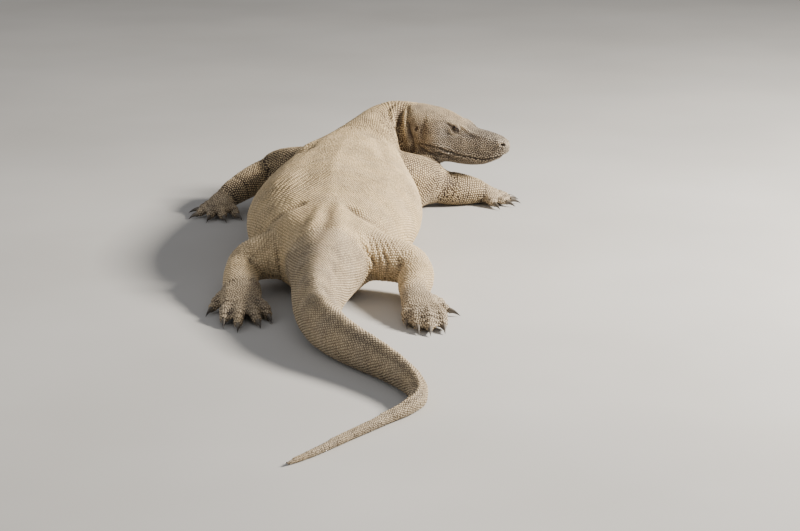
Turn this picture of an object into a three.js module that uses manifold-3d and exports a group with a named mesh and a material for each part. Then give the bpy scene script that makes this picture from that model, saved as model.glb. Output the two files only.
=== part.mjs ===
// A Komodo dragon, a large adult, lying on its belly: the neck is raised, the head is turned to
// the animal's right, the left arm and both hind legs trail backwards and the tail winds to the right.
// Millimetres. +Z is up, +Y is forward along the trunk and +X is the animal's right.
// The origin is on the floor under the middle of the trunk.
import * as THREE from "three";
import { mergeVertices } from "three/addons/utils/BufferGeometryUtils.js";
import Module from "manifold-3d";

const wasm = await Module();
wasm.setup();

// Driving sizes.
const HEAD_LENGTH = 270; // snout tip to the ear
const HEAD_HALF_WIDTH = 62;
const TRUNK_HALF_WIDTH = 210;
const TRUNK_HEIGHT = 228;
const LIMB_GIRTH = 1; // scales the thickness of every leg
const EYE_RADIUS = 10.5;
const TOE_RADIUS = 13.5;
const CLAW_LENGTH = 25;
const CLAW_RADIUS = 5.5;
const GAP = 0.4; // between neighbouring solids
const SLIVER = 0.1; // facets thinner than this are merged away
const MERGE_DISTANCE = 1e-3; // corners nearer than this are one corner
const END_ROW = 0.499; // a unit cylinder's points beyond this height are on its end faces

const UP = new THREE.Vector3(0, 0, 1);
const FLOOR_BLOCK = 4000;

const SKIN = { color: 0x9a8b74, roughness: 0.85, metalness: 0 };
const HEAD_SKIN = { color: 0x857869, roughness: 0.8, metalness: 0 };
const CLAW_HORN = { color: 0x2e2a26, roughness: 0.4, metalness: 0 };
const EYE_GLOSS = { color: 0x2a1c10, roughness: 0.08, metalness: 0 };

/** One cross-section: its centre, half-width, and reach above and below the centre. */
function station(x, y, z, side, up, down = up) {
  return { at: new THREE.Vector3(x, y, z), size: new THREE.Vector3(side, up, down) };
}

/** A unit circle's ordinate, pushed towards a box (power over 2) or a diamond (power under 2). */
function squared(value, power) {
  return Math.sign(value) * Math.abs(value) ** (2 / power);
}

/**
 * A closed tube through the stations, made by bending a cylinder along their centres.
 * from and to are station numbers, so that a body is made in lengths that meet face to face.
 */
function loft(stations, { around = 11, perStation = 2, from = 0, to = stations.length - 1,
  grow = 0, top = 2, bottom = 2 } = {}) {
  const centres = new THREE.CatmullRomCurve3(stations.map((s) => s.at), false, "centripetal");
  const sizes = new THREE.CatmullRomCurve3(stations.map((s) => s.size), false, "catmullrom", 0.5);
  const rows = Math.max(1, Math.round((to - from) * perStation));
  const tube = new THREE.CylinderGeometry(1, 1, 1, around, rows);
  const points = tube.getAttribute("position");
  const raw = new THREE.Vector3();
  for (let i = 0; i < points.count; i++) {
    raw.fromBufferAttribute(points, i);
    const t = (from + (raw.y + 0.5) * (to - from)) / (stations.length - 1);
    const point = centres.getPoint(t);
    const size = sizes.getPoint(t);
    const ahead = centres.getTangent(t);
    const side = new THREE.Vector3().crossVectors(ahead, UP).normalize();
    const above = new THREE.Vector3().crossVectors(side, ahead);
    if (Math.abs(raw.y) > END_ROW) {
      point.addScaledVector(ahead, Math.sign(raw.y) * grow);
    }
    const power = raw.z > 0 ? top : bottom;
    const reach = raw.z > 0 ? size.y : size.z;
    point.addScaledVector(side, (size.x + grow) * squared(raw.x, power));
    point.addScaledVector(above, (reach + grow) * squared(raw.z, power));
    points.setXYZ(i, point.x, point.y, point.z);
  }
  return solid(tube);
}

/** The manifold-3d solid of a closed three.js geometry. */
function solid(geometry) {
  const bare = geometry.index ? geometry.toNonIndexed() : geometry.clone();
  bare.deleteAttribute("normal");
  bare.deleteAttribute("uv");
  const merged = mergeVertices(bare, MERGE_DISTANCE);
  return new wasm.Manifold(new wasm.Mesh({
    numProp: 3,
    vertProperties: merged.getAttribute("position").array,
    triVerts: new Uint32Array(merged.index.array),
  }));
}

/** The largest body of a cut solid, without the crumbs and the slivers. */
function mainBody(cut) {
  return cut.decompose().sort((a, b) => b.volume() - a.volume())[0].simplify(SLIVER);
}

const floorBlock = solid(new THREE.BoxGeometry(FLOOR_BLOCK, FLOOR_BLOCK, FLOOR_BLOCK)
  .translate(0, 0, -FLOOR_BLOCK / 2));

/** Trims flat, at floor level, whatever dips below the floor. */
function rest(body) {
  return mainBody(body.subtract(floorBlock));
}

const dragon = new THREE.Group();

/** Adds a finished solid to the model as a named mesh. */
function add(name, body, finish) {
  const mesh = body.getMesh();
  const geometry = new THREE.BufferGeometry();
  geometry.setAttribute("position", new THREE.BufferAttribute(new Float32Array(mesh.vertProperties), 3));
  geometry.setIndex(new THREE.BufferAttribute(new Uint32Array(mesh.triVerts), 1));
  geometry.computeVertexNormals();
  const node = new THREE.Mesh(geometry, new THREE.MeshStandardMaterial(finish));
  node.name = name;
  dragon.add(node);
}

// ---- Neck, trunk and tail: one line of stations from the ears to the tip of the tail ----

const w = TRUNK_HALF_WIDTH;
const h = TRUNK_HEIGHT;
const EAR = new THREE.Vector3(154, 546, 210); // the middle of the head where the neck takes over
const SPINE = [
  station(175, 541, 206, HEAD_HALF_WIDTH - 1, 56, 92), // inside the head, and cut away
  station(EAR.x, EAR.y, EAR.z, HEAD_HALF_WIDTH - 1, 56, 100), // the slack throat
  station(112, 553, 211, 64, 62, 116),
  station(76, 540, 194, 72, 72, 116),
  station(42, 495, 166, 84, 80, 114),
  station(14, 432, 138, 0.57 * w, 0.38 * h, 128),
  station(-1, 349, 120, 0.7 * w, 0.44 * h, 122), // shoulders
  station(-4, 232, 108, 0.85 * w, 0.5 * h, 112),
  station(-2, 69, 104, 0.97 * w, 0.54 * h, 108),
  station(0, -92, 102, w, 0.54 * h, 106), // the widest of the belly
  station(2, -240, 98, 0.9 * w, 0.5 * h, 102),
  station(7, -354, 92, 0.66 * w, 0.46 * h, 95), // hips
  station(16, -455, 84, 0.45 * w, 0.4 * h, 86),
  station(15, -566, 72, 68, 74, 74), // the root of the tail
  station(19, -699, 60, 54, 62, 62),
  station(48, -826, 52, 45, 54, 53),
  station(108, -931, 45, 38, 47, 46),
  station(182, -1023, 37, 32, 39, 38),
  station(245, -1121, 29, 26, 31, 30),
  station(268, -1213, 21, 20, 22, 22), // the bend
  station(220, -1298, 14.5, 14, 14.5, 15),
  station(151, -1405, 11, 11, 11.5, 11.5),
  station(91, -1502, 8.5, 8.5, 9, 9),
  station(46, -1560, 6, 4.5, 5, 6.2),
];
const NECK_END = 4.6; // in stations
const TRUNK_END = 12;
const TAIL_ENDS = [TRUNK_END, 14.5, 17, 19.5, SPINE.length - 1];
const SLACK = 0.006; // half the gap between two lengths, in stations
const bodyForm = { top: 1.9, bottom: 2.3 };
const neckSpan = { ...bodyForm, around: 24, perStation: 2, to: NECK_END - SLACK };
const trunkSpan = { ...bodyForm, around: 25, from: NECK_END + SLACK, to: TRUNK_END - SLACK };
const collarSpan = { ...trunkSpan, from: NECK_END - 2 * SLACK, to: NECK_END + 2 * SLACK };
const bodyRoom = [neckSpan, trunkSpan, collarSpan].map((span) => loft(SPINE, { ...span, grow: GAP }));

add("trunk", rest(loft(SPINE, trunkSpan)), SKIN);
TAIL_ENDS.slice(1).forEach((end, i) => {
  const span = { around: 13, perStation: 2, from: TAIL_ENDS[i] + SLACK, to: end - SLACK };
  add(`tail_${i + 1}`, rest(loft(SPINE, { ...span, top: 1.7, bottom: 2.2 })), SKIN);
});

// ---- Head, in its own frame: s forward from the ear, side to the right, up ----

const HEAD_TURN = new THREE.Euler(0, THREE.MathUtils.degToRad(10.6), THREE.MathUtils.degToRad(-12.5), "ZYX");
const headFrame = new THREE.Matrix4().makeRotationFromEuler(HEAD_TURN).setPosition(EAR);

/** A point of the head's frame in the model's frame. */
function onHead(s, side, up) {
  return new THREE.Vector3(s, -side, up).applyMatrix4(headFrame);
}

function headStation(fraction, side, up, down) {
  const at = onHead(fraction * HEAD_LENGTH, 0, 0);
  return station(at.x, at.y, at.z, side * HEAD_HALF_WIDTH, up, down);
}

const HEAD = [
  headStation(0, 1, 57, 105), // the throat hangs behind the jaw
  headStation(0.14, 1.02, 58, 93),
  headStation(0.28, 0.98, 58, 79),
  headStation(0.38, 0.87, 52, 76), // behind the eye
  headStation(0.46, 0.78, 46, 74), // the eye
  headStation(0.56, 0.69, 38, 74),
  headStation(0.66, 0.62, 32, 70),
  headStation(0.77, 0.56, 29, 61),
  headStation(0.87, 0.5, 25, 44), // the nostril
  headStation(0.95, 0.4, 17, 22),
  headStation(0.99, 0.22, 8, 8),
  headStation(1, 0.05, 2, 2),
];
const headForm = { around: 18, perStation: 1.3, top: 2.8, bottom: 2.6 };

/** An ellipsoid set in the head's frame. */
function headBall(s, side, up, along, across, high, around = 12) {
  const ball = new THREE.SphereGeometry(1, around, Math.round(around * 0.67));
  ball.scale(along, across, high).applyMatrix4(headFrame);
  const centre = onHead(s, side, up).sub(EAR);
  return solid(ball.translate(centre.x, centre.y, centre.z));
}

/** The line of the mouth, as points ahead and up, from its corner to beyond the snout. */
const MOUTH_LINE = [[34, -33], [76, -31], [108, -36], [150, -42], [209, -41], [240, -29], [290, -8]];
const JAW_REACH = 150; // further down and to each side than the head goes

/** The lower jaw's region: below the line of the mouth and ahead of its corner. */
function jawRegion(grow) {
  const line = new THREE.SplineCurve(MOUTH_LINE.map(([s, up]) => new THREE.Vector2(s - grow, up + grow)));
  const outline = new THREE.Shape(line.getPoints(16));
  outline.lineTo(MOUTH_LINE.at(-1)[0], -JAW_REACH);
  outline.lineTo(MOUTH_LINE[0][0] - grow, -JAW_REACH);
  outline.closePath();
  const slab = new THREE.ExtrudeGeometry(outline, { depth: 2 * JAW_REACH, bevelEnabled: false, steps: 1 });
  // Drawn in the s-up plane, then stood on edge across the head.
  slab.translate(0, 0, -JAW_REACH).rotateX(Math.PI / 2).applyMatrix4(headFrame);
  return solid(slab);
}

/** One eyeball, or the room for it. */
function eyeball(side, radius) {
  return headBall(125, side * 37, 26, radius, radius, radius, 10);
}

let skull = loft(HEAD, headForm);
for (const side of [-1, 1]) {
  skull = skull.add(headBall(131, side * 33, 33, 33, 10, 9, 9)); // the ridge over the eye
}
for (const side of [-1, 1]) {
  const nostril = headBall(252, side * 21, 7, 7, 5, 4, 8);
  const ear = headBall(26, side * 62, 6, 5, 4, 13, 8);
  skull = skull.subtract(eyeball(side, EYE_RADIUS + GAP)).subtract(nostril).subtract(ear);
}
add("head", mainBody(skull.subtract(jawRegion(GAP))), HEAD_SKIN);
add("lower_jaw", mainBody(skull.intersect(jawRegion(0))), HEAD_SKIN);
add("eye_right", eyeball(1, EYE_RADIUS), EYE_GLOSS);
add("eye_left", eyeball(-1, EYE_RADIUS), EYE_GLOSS);

const headRoom = loft(HEAD, { ...headForm, grow: GAP });
add("neck", rest(loft(SPINE, neckSpan).subtract(headRoom)), SKIN);

// ---- Legs ----

const g = LIMB_GIRTH;

const TOE_END = 2.75; // in stations, where the claw leaves the toe

/**
 * A digit's stations from its knuckle over the middle joint and the pad to the tip of the claw,
 * which curves down to the floor.
 */
function digit([knuckle, joint, pad]) {
  const onward = new THREE.Vector2(pad[0] - joint[0], pad[1] - joint[1]).normalize();
  const past = (share, height) => [
    pad[0] + onward.x * share * CLAW_LENGTH,
    pad[1] + onward.y * share * CLAW_LENGTH,
    height,
  ];
  const r = TOE_RADIUS;
  const c = CLAW_RADIUS;
  return [
    station(...knuckle, r * 1.1, r * 1.1),
    station(...joint, r, r * 0.95),
    station(...pad, r * 0.8, r * 0.85),
    station(...past(0.4, pad[2] + 1), c, c * 1.2),
    station(...past(0.9, 0.5 * pad[2] + 2), c * 0.6, c * 0.8),
    station(...past(1.25, 1.5), c * 0.12, c * 0.15),
  ];
}

/**
 * A leg: the upper length cut back by what carries it, then the lower length, the foot with its
 * toes joined on, and the claws. Toe 1 is the inner one.
 */
function leg(name, end, upper, lower, sole, toes, carriers) {
  const cut = (body, ...rooms) => rooms.reduce((left, room) => left.subtract(room), body);
  const upperRoom = loft(upper, { around: 12, grow: GAP });
  const lowerRoom = loft(lower, { grow: GAP });
  add(`${name}_upper`, rest(cut(loft(upper, { around: 12 }), ...carriers)), SKIN);
  add(`${name}_lower`, rest(cut(loft(lower), upperRoom, ...carriers)), SKIN);
  const toeSpan = { around: 7, perStation: 1.2, to: TOE_END - SLACK };
  const foot = toes.reduce((body, points) => body.add(loft(digit(points), toeSpan)),
    loft(sole, { around: 10, perStation: 1, top: 2.4, bottom: 2.4 }));
  add(`${name}_${end}`, rest(cut(foot, lowerRoom, upperRoom, ...carriers)), SKIN);
  toes.forEach((points, i) => {
    const claw = loft(digit(points), { around: 6, perStation: 1.4, from: TOE_END + 2 * SLACK });
    add(`${name}_claw_${i + 1}`, rest(claw), CLAW_HORN);
  });
}

leg("arm_left", "hand", [
  station(-87, 403, 118, 50 * g, 52 * g),
  station(-159, 442, 118, 46 * g, 48 * g),
  station(-216, 482, 100, 38 * g, 42 * g),
  station(-236, 489, 92, 20 * g, 24 * g),
], [
  station(-211, 503, 98, 24 * g, 26 * g),
  station(-243, 463, 84, 38 * g, 40 * g),
  station(-295, 391, 62, 34 * g, 38 * g),
  station(-327, 350, 48, 30 * g, 30 * g),
], [
  station(-318, 362, 44, 30, 27),
  station(-338, 342, 34, 37, 26),
  station(-354, 328, 25, 33, 20),
], [
  [[-312, 334, 24], [-298, 318, 20], [-290, 306, 9.5]],
  [[-330, 322, 24], [-328, 299, 20], [-322, 284, 9.5]],
  [[-346, 322, 24], [-356, 300, 20], [-358, 284, 9.5]],
  [[-356, 338, 24], [-380, 326, 20], [-392, 314, 9.5]],
  [[-352, 362, 24], [-380, 368, 20], [-394, 366, 9.5]],
], bodyRoom);

leg("arm_right", "hand", [
  station(75, 396, 112, 54 * g, 54 * g, 66 * g),
  station(146, 438, 98, 56 * g, 56 * g, 84 * g), // slack skin hangs to the floor
  station(210, 490, 68, 52 * g, 48 * g, 66 * g),
  station(238, 508, 56, 30 * g, 28 * g, 42 * g),
], [
  station(200, 500, 56, 30 * g, 28 * g, 42 * g),
  station(242, 508, 50, 52 * g, 42 * g, 51 * g),
  station(300, 520, 42, 47 * g, 36 * g, 43 * g),
  station(345, 532, 32, 34 * g, 26 * g, 33 * g),
], [
  station(334, 530, 34, 30, 22),
  station(356, 534, 27, 36, 20),
  station(374, 537, 21, 32, 16),
], [
  [[352, 508, 20], [363, 488, 17], [371, 475, 9.5]],
  [[368, 520, 20], [388, 508, 17], [400, 501, 9.5]],
  [[374, 536, 20], [396, 533, 17], [410, 531, 9.5]],
  [[370, 552, 20], [392, 558, 17], [404, 563, 9.5]],
  [[356, 562, 20], [368, 580, 17], [375, 592, 9.5]],
], bodyRoom);

leg("leg_left", "foot", [
  station(-57, -376, 90, 60 * g, 58 * g),
  station(-126, -380, 82, 58 * g, 54 * g),
  station(-174, -386, 70, 45 * g, 44 * g),
  station(-194, -392, 62, 26 * g, 26 * g),
], [
  station(-187, -362, 60, 26 * g, 26 * g),
  station(-183, -418, 56, 38 * g, 40 * g, 57 * g),
  station(-176, -476, 49, 42 * g, 33 * g, 47 * g),
  station(-168, -526, 42, 42 * g, 27 * g),
], [
  station(-169, -508, 43, 45, 26),
  station(-164, -556, 35, 48, 24),
  station(-160, -602, 26, 42, 18),
], [
  [[-124, -580, 26], [-104, -606, 23], [-95, -628, 9.5]],
  [[-140, -600, 25], [-124, -641, 24], [-114, -668, 9.5]],
  [[-162, -606, 25], [-156, -658, 26], [-152, -700, 9.5]],
  [[-184, -596, 25], [-190, -636, 24], [-187, -670, 9.5]],
  [[-196, -540, 32], [-218, -556, 26], [-226, -580, 9.5]],
], bodyRoom);

leg("leg_right", "foot", [
  station(63, -377, 90, 60 * g, 58 * g),
  station(143, -386, 84, 58 * g, 54 * g),
  station(208, -399, 70, 46 * g, 44 * g),
  station(235, -408, 62, 26 * g, 26 * g),
], [
  station(227, -382, 60, 26 * g, 26 * g),
  station(219, -438, 56, 42 * g, 41 * g, 57 * g),
  station(213, -499, 48, 34 * g, 33 * g, 46 * g),
  station(214, -545, 40, 26 * g, 25 * g),
], [
  station(215, -530, 42, 30, 26),
  station(231, -575, 34, 41, 24),
  station(246, -612, 26, 40, 18),
], [
  [[214, -600, 26], [207, -628, 24], [209, -650, 9.5]],
  [[232, -612, 26], [230, -656, 27], [235, -688, 9.5]],
  [[252, -614, 26], [258, -662, 28], [262, -699, 9.5]],
  [[271, -602, 26], [286, -646, 26], [291, -680, 9.5]],
  [[254, -548, 32], [277, -548, 26], [294, -556, 9.5]],
], bodyRoom);

export default dragon;
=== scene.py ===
"""A Komodo dragon lying on its belly, a life-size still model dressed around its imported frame.

One hide replaces the solids of flesh, and a coat of small bead-like scales covers it in rows that
follow the body and the limbs. Eyes and claws are pieces of their own. Lengths in the tables are in
millimetres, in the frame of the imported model: +Y forward along the trunk, +X the animal's right.
"""

import logging
import math
from dataclasses import dataclass, field
from enum import Enum

import bmesh
import bpy
import numpy as np
from mathutils import Matrix, Vector
from mathutils.bvhtree import BVHTree
from mathutils.kdtree import KDTree


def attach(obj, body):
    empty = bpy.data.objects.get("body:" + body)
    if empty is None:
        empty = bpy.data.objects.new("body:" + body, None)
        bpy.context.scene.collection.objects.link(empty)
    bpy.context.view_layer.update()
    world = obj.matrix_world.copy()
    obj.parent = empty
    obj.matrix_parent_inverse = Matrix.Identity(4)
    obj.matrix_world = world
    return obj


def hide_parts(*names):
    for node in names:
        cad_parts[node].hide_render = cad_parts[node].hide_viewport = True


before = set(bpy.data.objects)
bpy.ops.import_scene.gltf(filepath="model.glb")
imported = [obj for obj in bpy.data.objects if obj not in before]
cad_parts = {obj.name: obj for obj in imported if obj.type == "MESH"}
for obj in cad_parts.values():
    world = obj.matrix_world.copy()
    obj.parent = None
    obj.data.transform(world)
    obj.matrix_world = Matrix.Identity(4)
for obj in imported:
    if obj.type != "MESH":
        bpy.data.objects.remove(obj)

log = logging.getLogger("dragon")

MM = 0.001
ROOT = "root"
SEED = 7
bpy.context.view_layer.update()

UP = np.array([0.0, 0.0, 1.0])


class Zone(Enum):
    """The stretches of the animal whose scales differ in size, shape and tone."""

    HEAD = "head"
    NECK = "neck"
    TRUNK = "trunk"
    TAIL = "tail"
    ARM_LEFT = "arm_left"
    ARM_RIGHT = "arm_right"
    LEG_LEFT = "leg_left"
    LEG_RIGHT = "leg_right"
    FEET = "feet"


LIMBS = (Zone.ARM_LEFT, Zone.ARM_RIGHT, Zone.LEG_LEFT, Zone.LEG_RIGHT)
ZONES = list(Zone)


def zone_of_node(name: str) -> Zone:
    """Tells which zone a flesh node of the frame belongs to.

    Args:
        name: The node's name.

    Returns:
        The zone.
    """
    if name in ("head", "lower_jaw"):
        return Zone.HEAD
    if name.endswith(("_hand", "_foot")):
        return Zone.FEET
    if name.startswith("tail"):
        return Zone.TAIL
    for limb in LIMBS:
        if name.startswith(limb.value):
            return limb
    return Zone(name)


# ---- Numbers and lines ------------------------------------------------------------------------


def smoothstep(low: float, high: float, value: np.ndarray) -> np.ndarray:
    """Rises smoothly from 0 at low to 1 at high."""
    t = np.clip((value - low) / (high - low), 0.0, 1.0)
    return t * t * (3.0 - 2.0 * t)


def unit(vectors: np.ndarray) -> np.ndarray:
    """Scales every row to length one."""
    return vectors / np.maximum(np.linalg.norm(vectors, axis=-1, keepdims=True), 1e-12)


def hill(distance: np.ndarray, width: float) -> np.ndarray:
    """A bell that is 1 at no distance and nearly gone at twice the width."""
    return np.exp(-((distance / width) ** 2))


def ripple(points: np.ndarray, wavelength: float, seed: int, octaves: int = 3) -> np.ndarray:
    """Smooth, repeatable unevenness between about -1 and 1, as a sum of a few plane waves.

    Args:
        points: Places, in metres.
        wavelength: The longest wave, in metres.
        seed: Picks the directions and phases of the waves.
        octaves: How many times the wavelength is halved.

    Returns:
        One value a point.
    """
    rng = np.random.default_rng(seed)
    total = np.zeros(len(points))
    weight = 1.0
    for _ in range(octaves):
        for _ in range(4):
            direction = unit(rng.normal(size=3))
            phase = rng.uniform(0, 2 * math.pi)
            total += weight * np.sin(points @ direction * (2 * math.pi / wavelength) + phase)
        wavelength *= 0.5
        weight *= 0.55
    return total / 4.5


@dataclass(frozen=True)
class Line:
    """A smooth line through a few points, which rows of scales and folds of skin are set out on."""

    points: tuple[tuple[float, float, float], ...]
    per_span: int = 20

    def sampled(self) -> np.ndarray:
        """Samples the line as a Catmull-Rom curve.

        Returns:
            Points in metres, closely spaced.
        """
        p = np.array(self.points, float) * MM
        p = np.vstack([2 * p[0] - p[1], p, 2 * p[-1] - p[-2]])
        t = np.linspace(0, 1, self.per_span, endpoint=False)[:, None]
        spans = []
        for a, b, c, d in zip(p[:-3], p[1:-2], p[2:-1], p[3:]):
            spans.append(0.5 * (2 * b + (c - a) * t + (2 * a - 5 * b + 4 * c - d) * t**2
                                + (3 * b - a - 3 * c + d) * t**3))
        return np.vstack([*spans, p[-2:-1]])


class Axis:
    """A line with its running length and a sideways and upward direction at each sample."""

    def __init__(self, line: Line) -> None:
        """Measures the line."""
        self.at = line.sampled()
        self.ahead = unit(np.gradient(self.at, axis=0))
        self.side = unit(np.cross(self.ahead, UP))
        self.above = np.cross(self.side, self.ahead)
        steps = np.linalg.norm(np.diff(self.at, axis=0), axis=1)
        self.run = np.concatenate([[0.0], np.cumsum(steps)])

    @property
    def length(self) -> float:
        """The line's whole length, in metres."""
        return float(self.run[-1])

    def locate(self, points: np.ndarray) -> tuple[np.ndarray, np.ndarray]:
        """Finds where on the line each point belongs.

        Args:
            points: Places, in metres.

        Returns:
            The running length along the line, and the angle round it from its top, positive
            towards the right.
        """
        nearest = np.empty(len(points), int)
        squares = (self.at**2).sum(1)
        for start in range(0, len(points), 8000):
            part = points[start:start + 8000]
            nearest[start:start + 8000] = (squares - 2 * part @ self.at.T).argmin(1)
        away = points - self.at[nearest]
        along = self.run[nearest] + (away * self.ahead[nearest]).sum(1)
        angle = np.arctan2((away * self.side[nearest]).sum(1), (away * self.above[nearest]).sum(1))
        return along, angle


# The line of the body, from the back of the head to the tip of the tail, and those of the limbs.
BODY_LINE = Line((
    (154, 546, 210), (112, 553, 211), (76, 540, 194), (42, 495, 166), (14, 432, 138),
    (-1, 349, 120), (-4, 232, 108), (-2, 69, 104), (0, -92, 102), (2, -240, 98), (7, -354, 92),
    (16, -455, 84), (15, -566, 72), (19, -699, 60), (48, -826, 52), (108, -931, 45),
    (182, -1023, 37), (245, -1121, 29), (268, -1213, 21), (220, -1298, 15), (151, -1405, 11),
    (91, -1502, 9), (46, -1560, 6),
))
LIMB_LINES = {
    Zone.ARM_LEFT: Line(((-70, 395, 118), (-159, 442, 118), (-214, 478, 100), (-243, 463, 84),
                         (-295, 391, 58), (-338, 338, 32))),
    Zone.ARM_RIGHT: Line(((60, 388, 114), (146, 438, 98), (210, 490, 68), (250, 510, 52),
                          (300, 520, 42), (360, 535, 28))),
    Zone.LEG_LEFT: Line(((-40, -374, 90), (-126, -380, 82), (-172, -390, 68), (-182, -425, 55),
                         (-176, -476, 49), (-164, -556, 35))),
    Zone.LEG_RIGHT: Line(((45, -375, 90), (143, -386, 84), (204, -402, 70), (218, -440, 56),
                          (213, -499, 48), (228, -580, 33))),
}

# Each toe's knuckle, its joint and its pad, from the innermost toe outwards.
TOES = (
    ((-312, 334, 24), (-298, 318, 20), (-290, 306, 10)),
    ((-330, 322, 24), (-328, 299, 20), (-322, 284, 10)),
    ((-346, 322, 24), (-356, 300, 20), (-358, 284, 10)),
    ((-356, 338, 24), (-380, 326, 20), (-392, 314, 10)),
    ((-352, 362, 24), (-380, 368, 20), (-394, 366, 10)),
    ((352, 508, 20), (363, 488, 17), (371, 475, 10)),
    ((368, 520, 20), (388, 508, 17), (400, 501, 10)),
    ((374, 536, 20), (396, 533, 17), (410, 531, 10)),
    ((370, 552, 20), (392, 558, 17), (404, 563, 10)),
    ((356, 562, 20), (368, 580, 17), (375, 592, 10)),
    ((-124, -580, 26), (-104, -606, 23), (-95, -628, 10)),
    ((-140, -600, 25), (-124, -641, 24), (-114, -668, 10)),
    ((-162, -606, 25), (-156, -658, 26), (-152, -700, 10)),
    ((-184, -596, 25), (-190, -636, 24), (-187, -670, 10)),
    ((-196, -540, 32), (-218, -556, 26), (-226, -580, 10)),
    ((214, -600, 26), (207, -628, 24), (209, -650, 10)),
    ((232, -612, 26), (230, -656, 27), (235, -688, 10)),
    ((252, -614, 26), (258, -662, 28), (262, -699, 10)),
    ((271, -602, 26), (286, -646, 26), (291, -680, 10)),
    ((254, -548, 32), (277, -548, 26), (294, -556, 10)),
)


class Head:
    """The head's own frame: s forward from its back, side to the right, up. Millimetres."""

    BACK = Vector((154, 546, 210))  # the middle of the head where the neck takes over
    YAW = math.radians(-12.5)
    PITCH = math.radians(10.6)
    TURN = Matrix.Rotation(YAW, 3, "Z") @ Matrix.Rotation(PITCH, 3, "Y")
    EYE = (125.0, 37.0, 26.0)
    EYE_RADIUS = 9.8
    EYE_SLANT = -32.0  # degrees
    NOSTRIL = (251.0, 27.0, 8.0)
    EAR_HOLE = (26.0, 62.0, 6.0)
    MOUTH_RUN = (34.0, 76.0, 108.0, 150.0, 209.0, 240.0, 290.0)
    MOUTH_UP = (-33.0, -31.0, -36.0, -42.0, -41.0, -29.0, -8.0)

    @classmethod
    def place(cls, s: float, side: float, up: float) -> Vector:
        """Turns a place on the head into metres of the model's frame."""
        return (cls.BACK + cls.TURN @ Vector((s, -side, up))) * MM

    @classmethod
    def local(cls, points: np.ndarray) -> tuple[np.ndarray, np.ndarray, np.ndarray]:
        """Turns places in metres into s, side and up, in millimetres.

        Args:
            points: Places in the model's frame, in metres.

        Returns:
            The three coordinates.
        """
        away = points / MM - np.array(cls.BACK)
        turned = away @ np.array(cls.TURN)
        return turned[:, 0], -turned[:, 1], turned[:, 2]

    @staticmethod
    def off_centre(centre: tuple[float, float, float], s: np.ndarray, up: np.ndarray,
                   length: float = 1.0, height: float = 1.0) -> np.ndarray:
        """Tells how far off a centre each place lies, as a share of a half length and height."""
        return np.hypot((s - centre[0]) / length, (up - centre[2]) / height)

    @classmethod
    def eye_opening(cls, s: np.ndarray, up: np.ndarray) -> np.ndarray:
        """Tells how far off the middle of the lids' slanted opening a place lies, its edge at 1."""
        ahead, above = s - cls.EYE[0], up - cls.EYE[2]
        slant = math.radians(cls.EYE_SLANT)
        lengthwise = ahead * math.cos(slant) + above * math.sin(slant)
        crosswise = above * math.cos(slant) - ahead * math.sin(slant)
        return np.hypot(lengthwise / 8.2, (crosswise + 0.4) / 4.8)

    @classmethod
    def mouth_line(cls, s: np.ndarray) -> np.ndarray:
        """Gives the height of the line of the mouth at each s, in millimetres."""
        return np.interp(s, cls.MOUTH_RUN, cls.MOUTH_UP)


# ---- Meshes and objects -----------------------------------------------------------------------


def put_attribute(mesh: bpy.types.Mesh, name: str, values: np.ndarray) -> None:
    """Stores one number a vertex in the mesh, for its material to read."""
    layer = mesh.attributes.new(name, "FLOAT", "POINT")
    layer.data.foreach_set("value", np.ascontiguousarray(values, dtype=np.float32))


def put_in_order(bm: bmesh.types.BMesh) -> None:
    """Sorts edges and faces by their corners, because extruding leaves them in no fixed order.

    Args:
        bm: The mesh, whose points keep their order.
    """
    bm.verts.index_update()
    for parts in (bm.edges, bm.faces):
        corners = {part: sorted(v.index for v in part.verts) for part in parts}
        rank = {part: place for place, part in enumerate(sorted(parts, key=corners.get))}
        parts.sort(key=rank.get)


def mesh_of(bm: bmesh.types.BMesh, name: str) -> bpy.types.Mesh:
    """Turns an edited mesh into a mesh of its own, and lets go of it."""
    mesh = bpy.data.meshes.new(name)
    bm.to_mesh(mesh)
    bm.free()
    return mesh


def shade_smooth(mesh: bpy.types.Mesh) -> None:
    """Shades every face smoothly."""
    mesh.polygons.foreach_set("use_smooth", [True] * len(mesh.polygons))


def place_in_scene(name: str, data: bpy.types.ID) -> bpy.types.Object:
    """Puts a mesh, a light or a camera into the scene."""
    obj = bpy.data.objects.new(name, data)
    bpy.context.scene.collection.objects.link(obj)
    return obj


# ---- The surface that folds, scales and tones are worked out on ------------------------------


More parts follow.
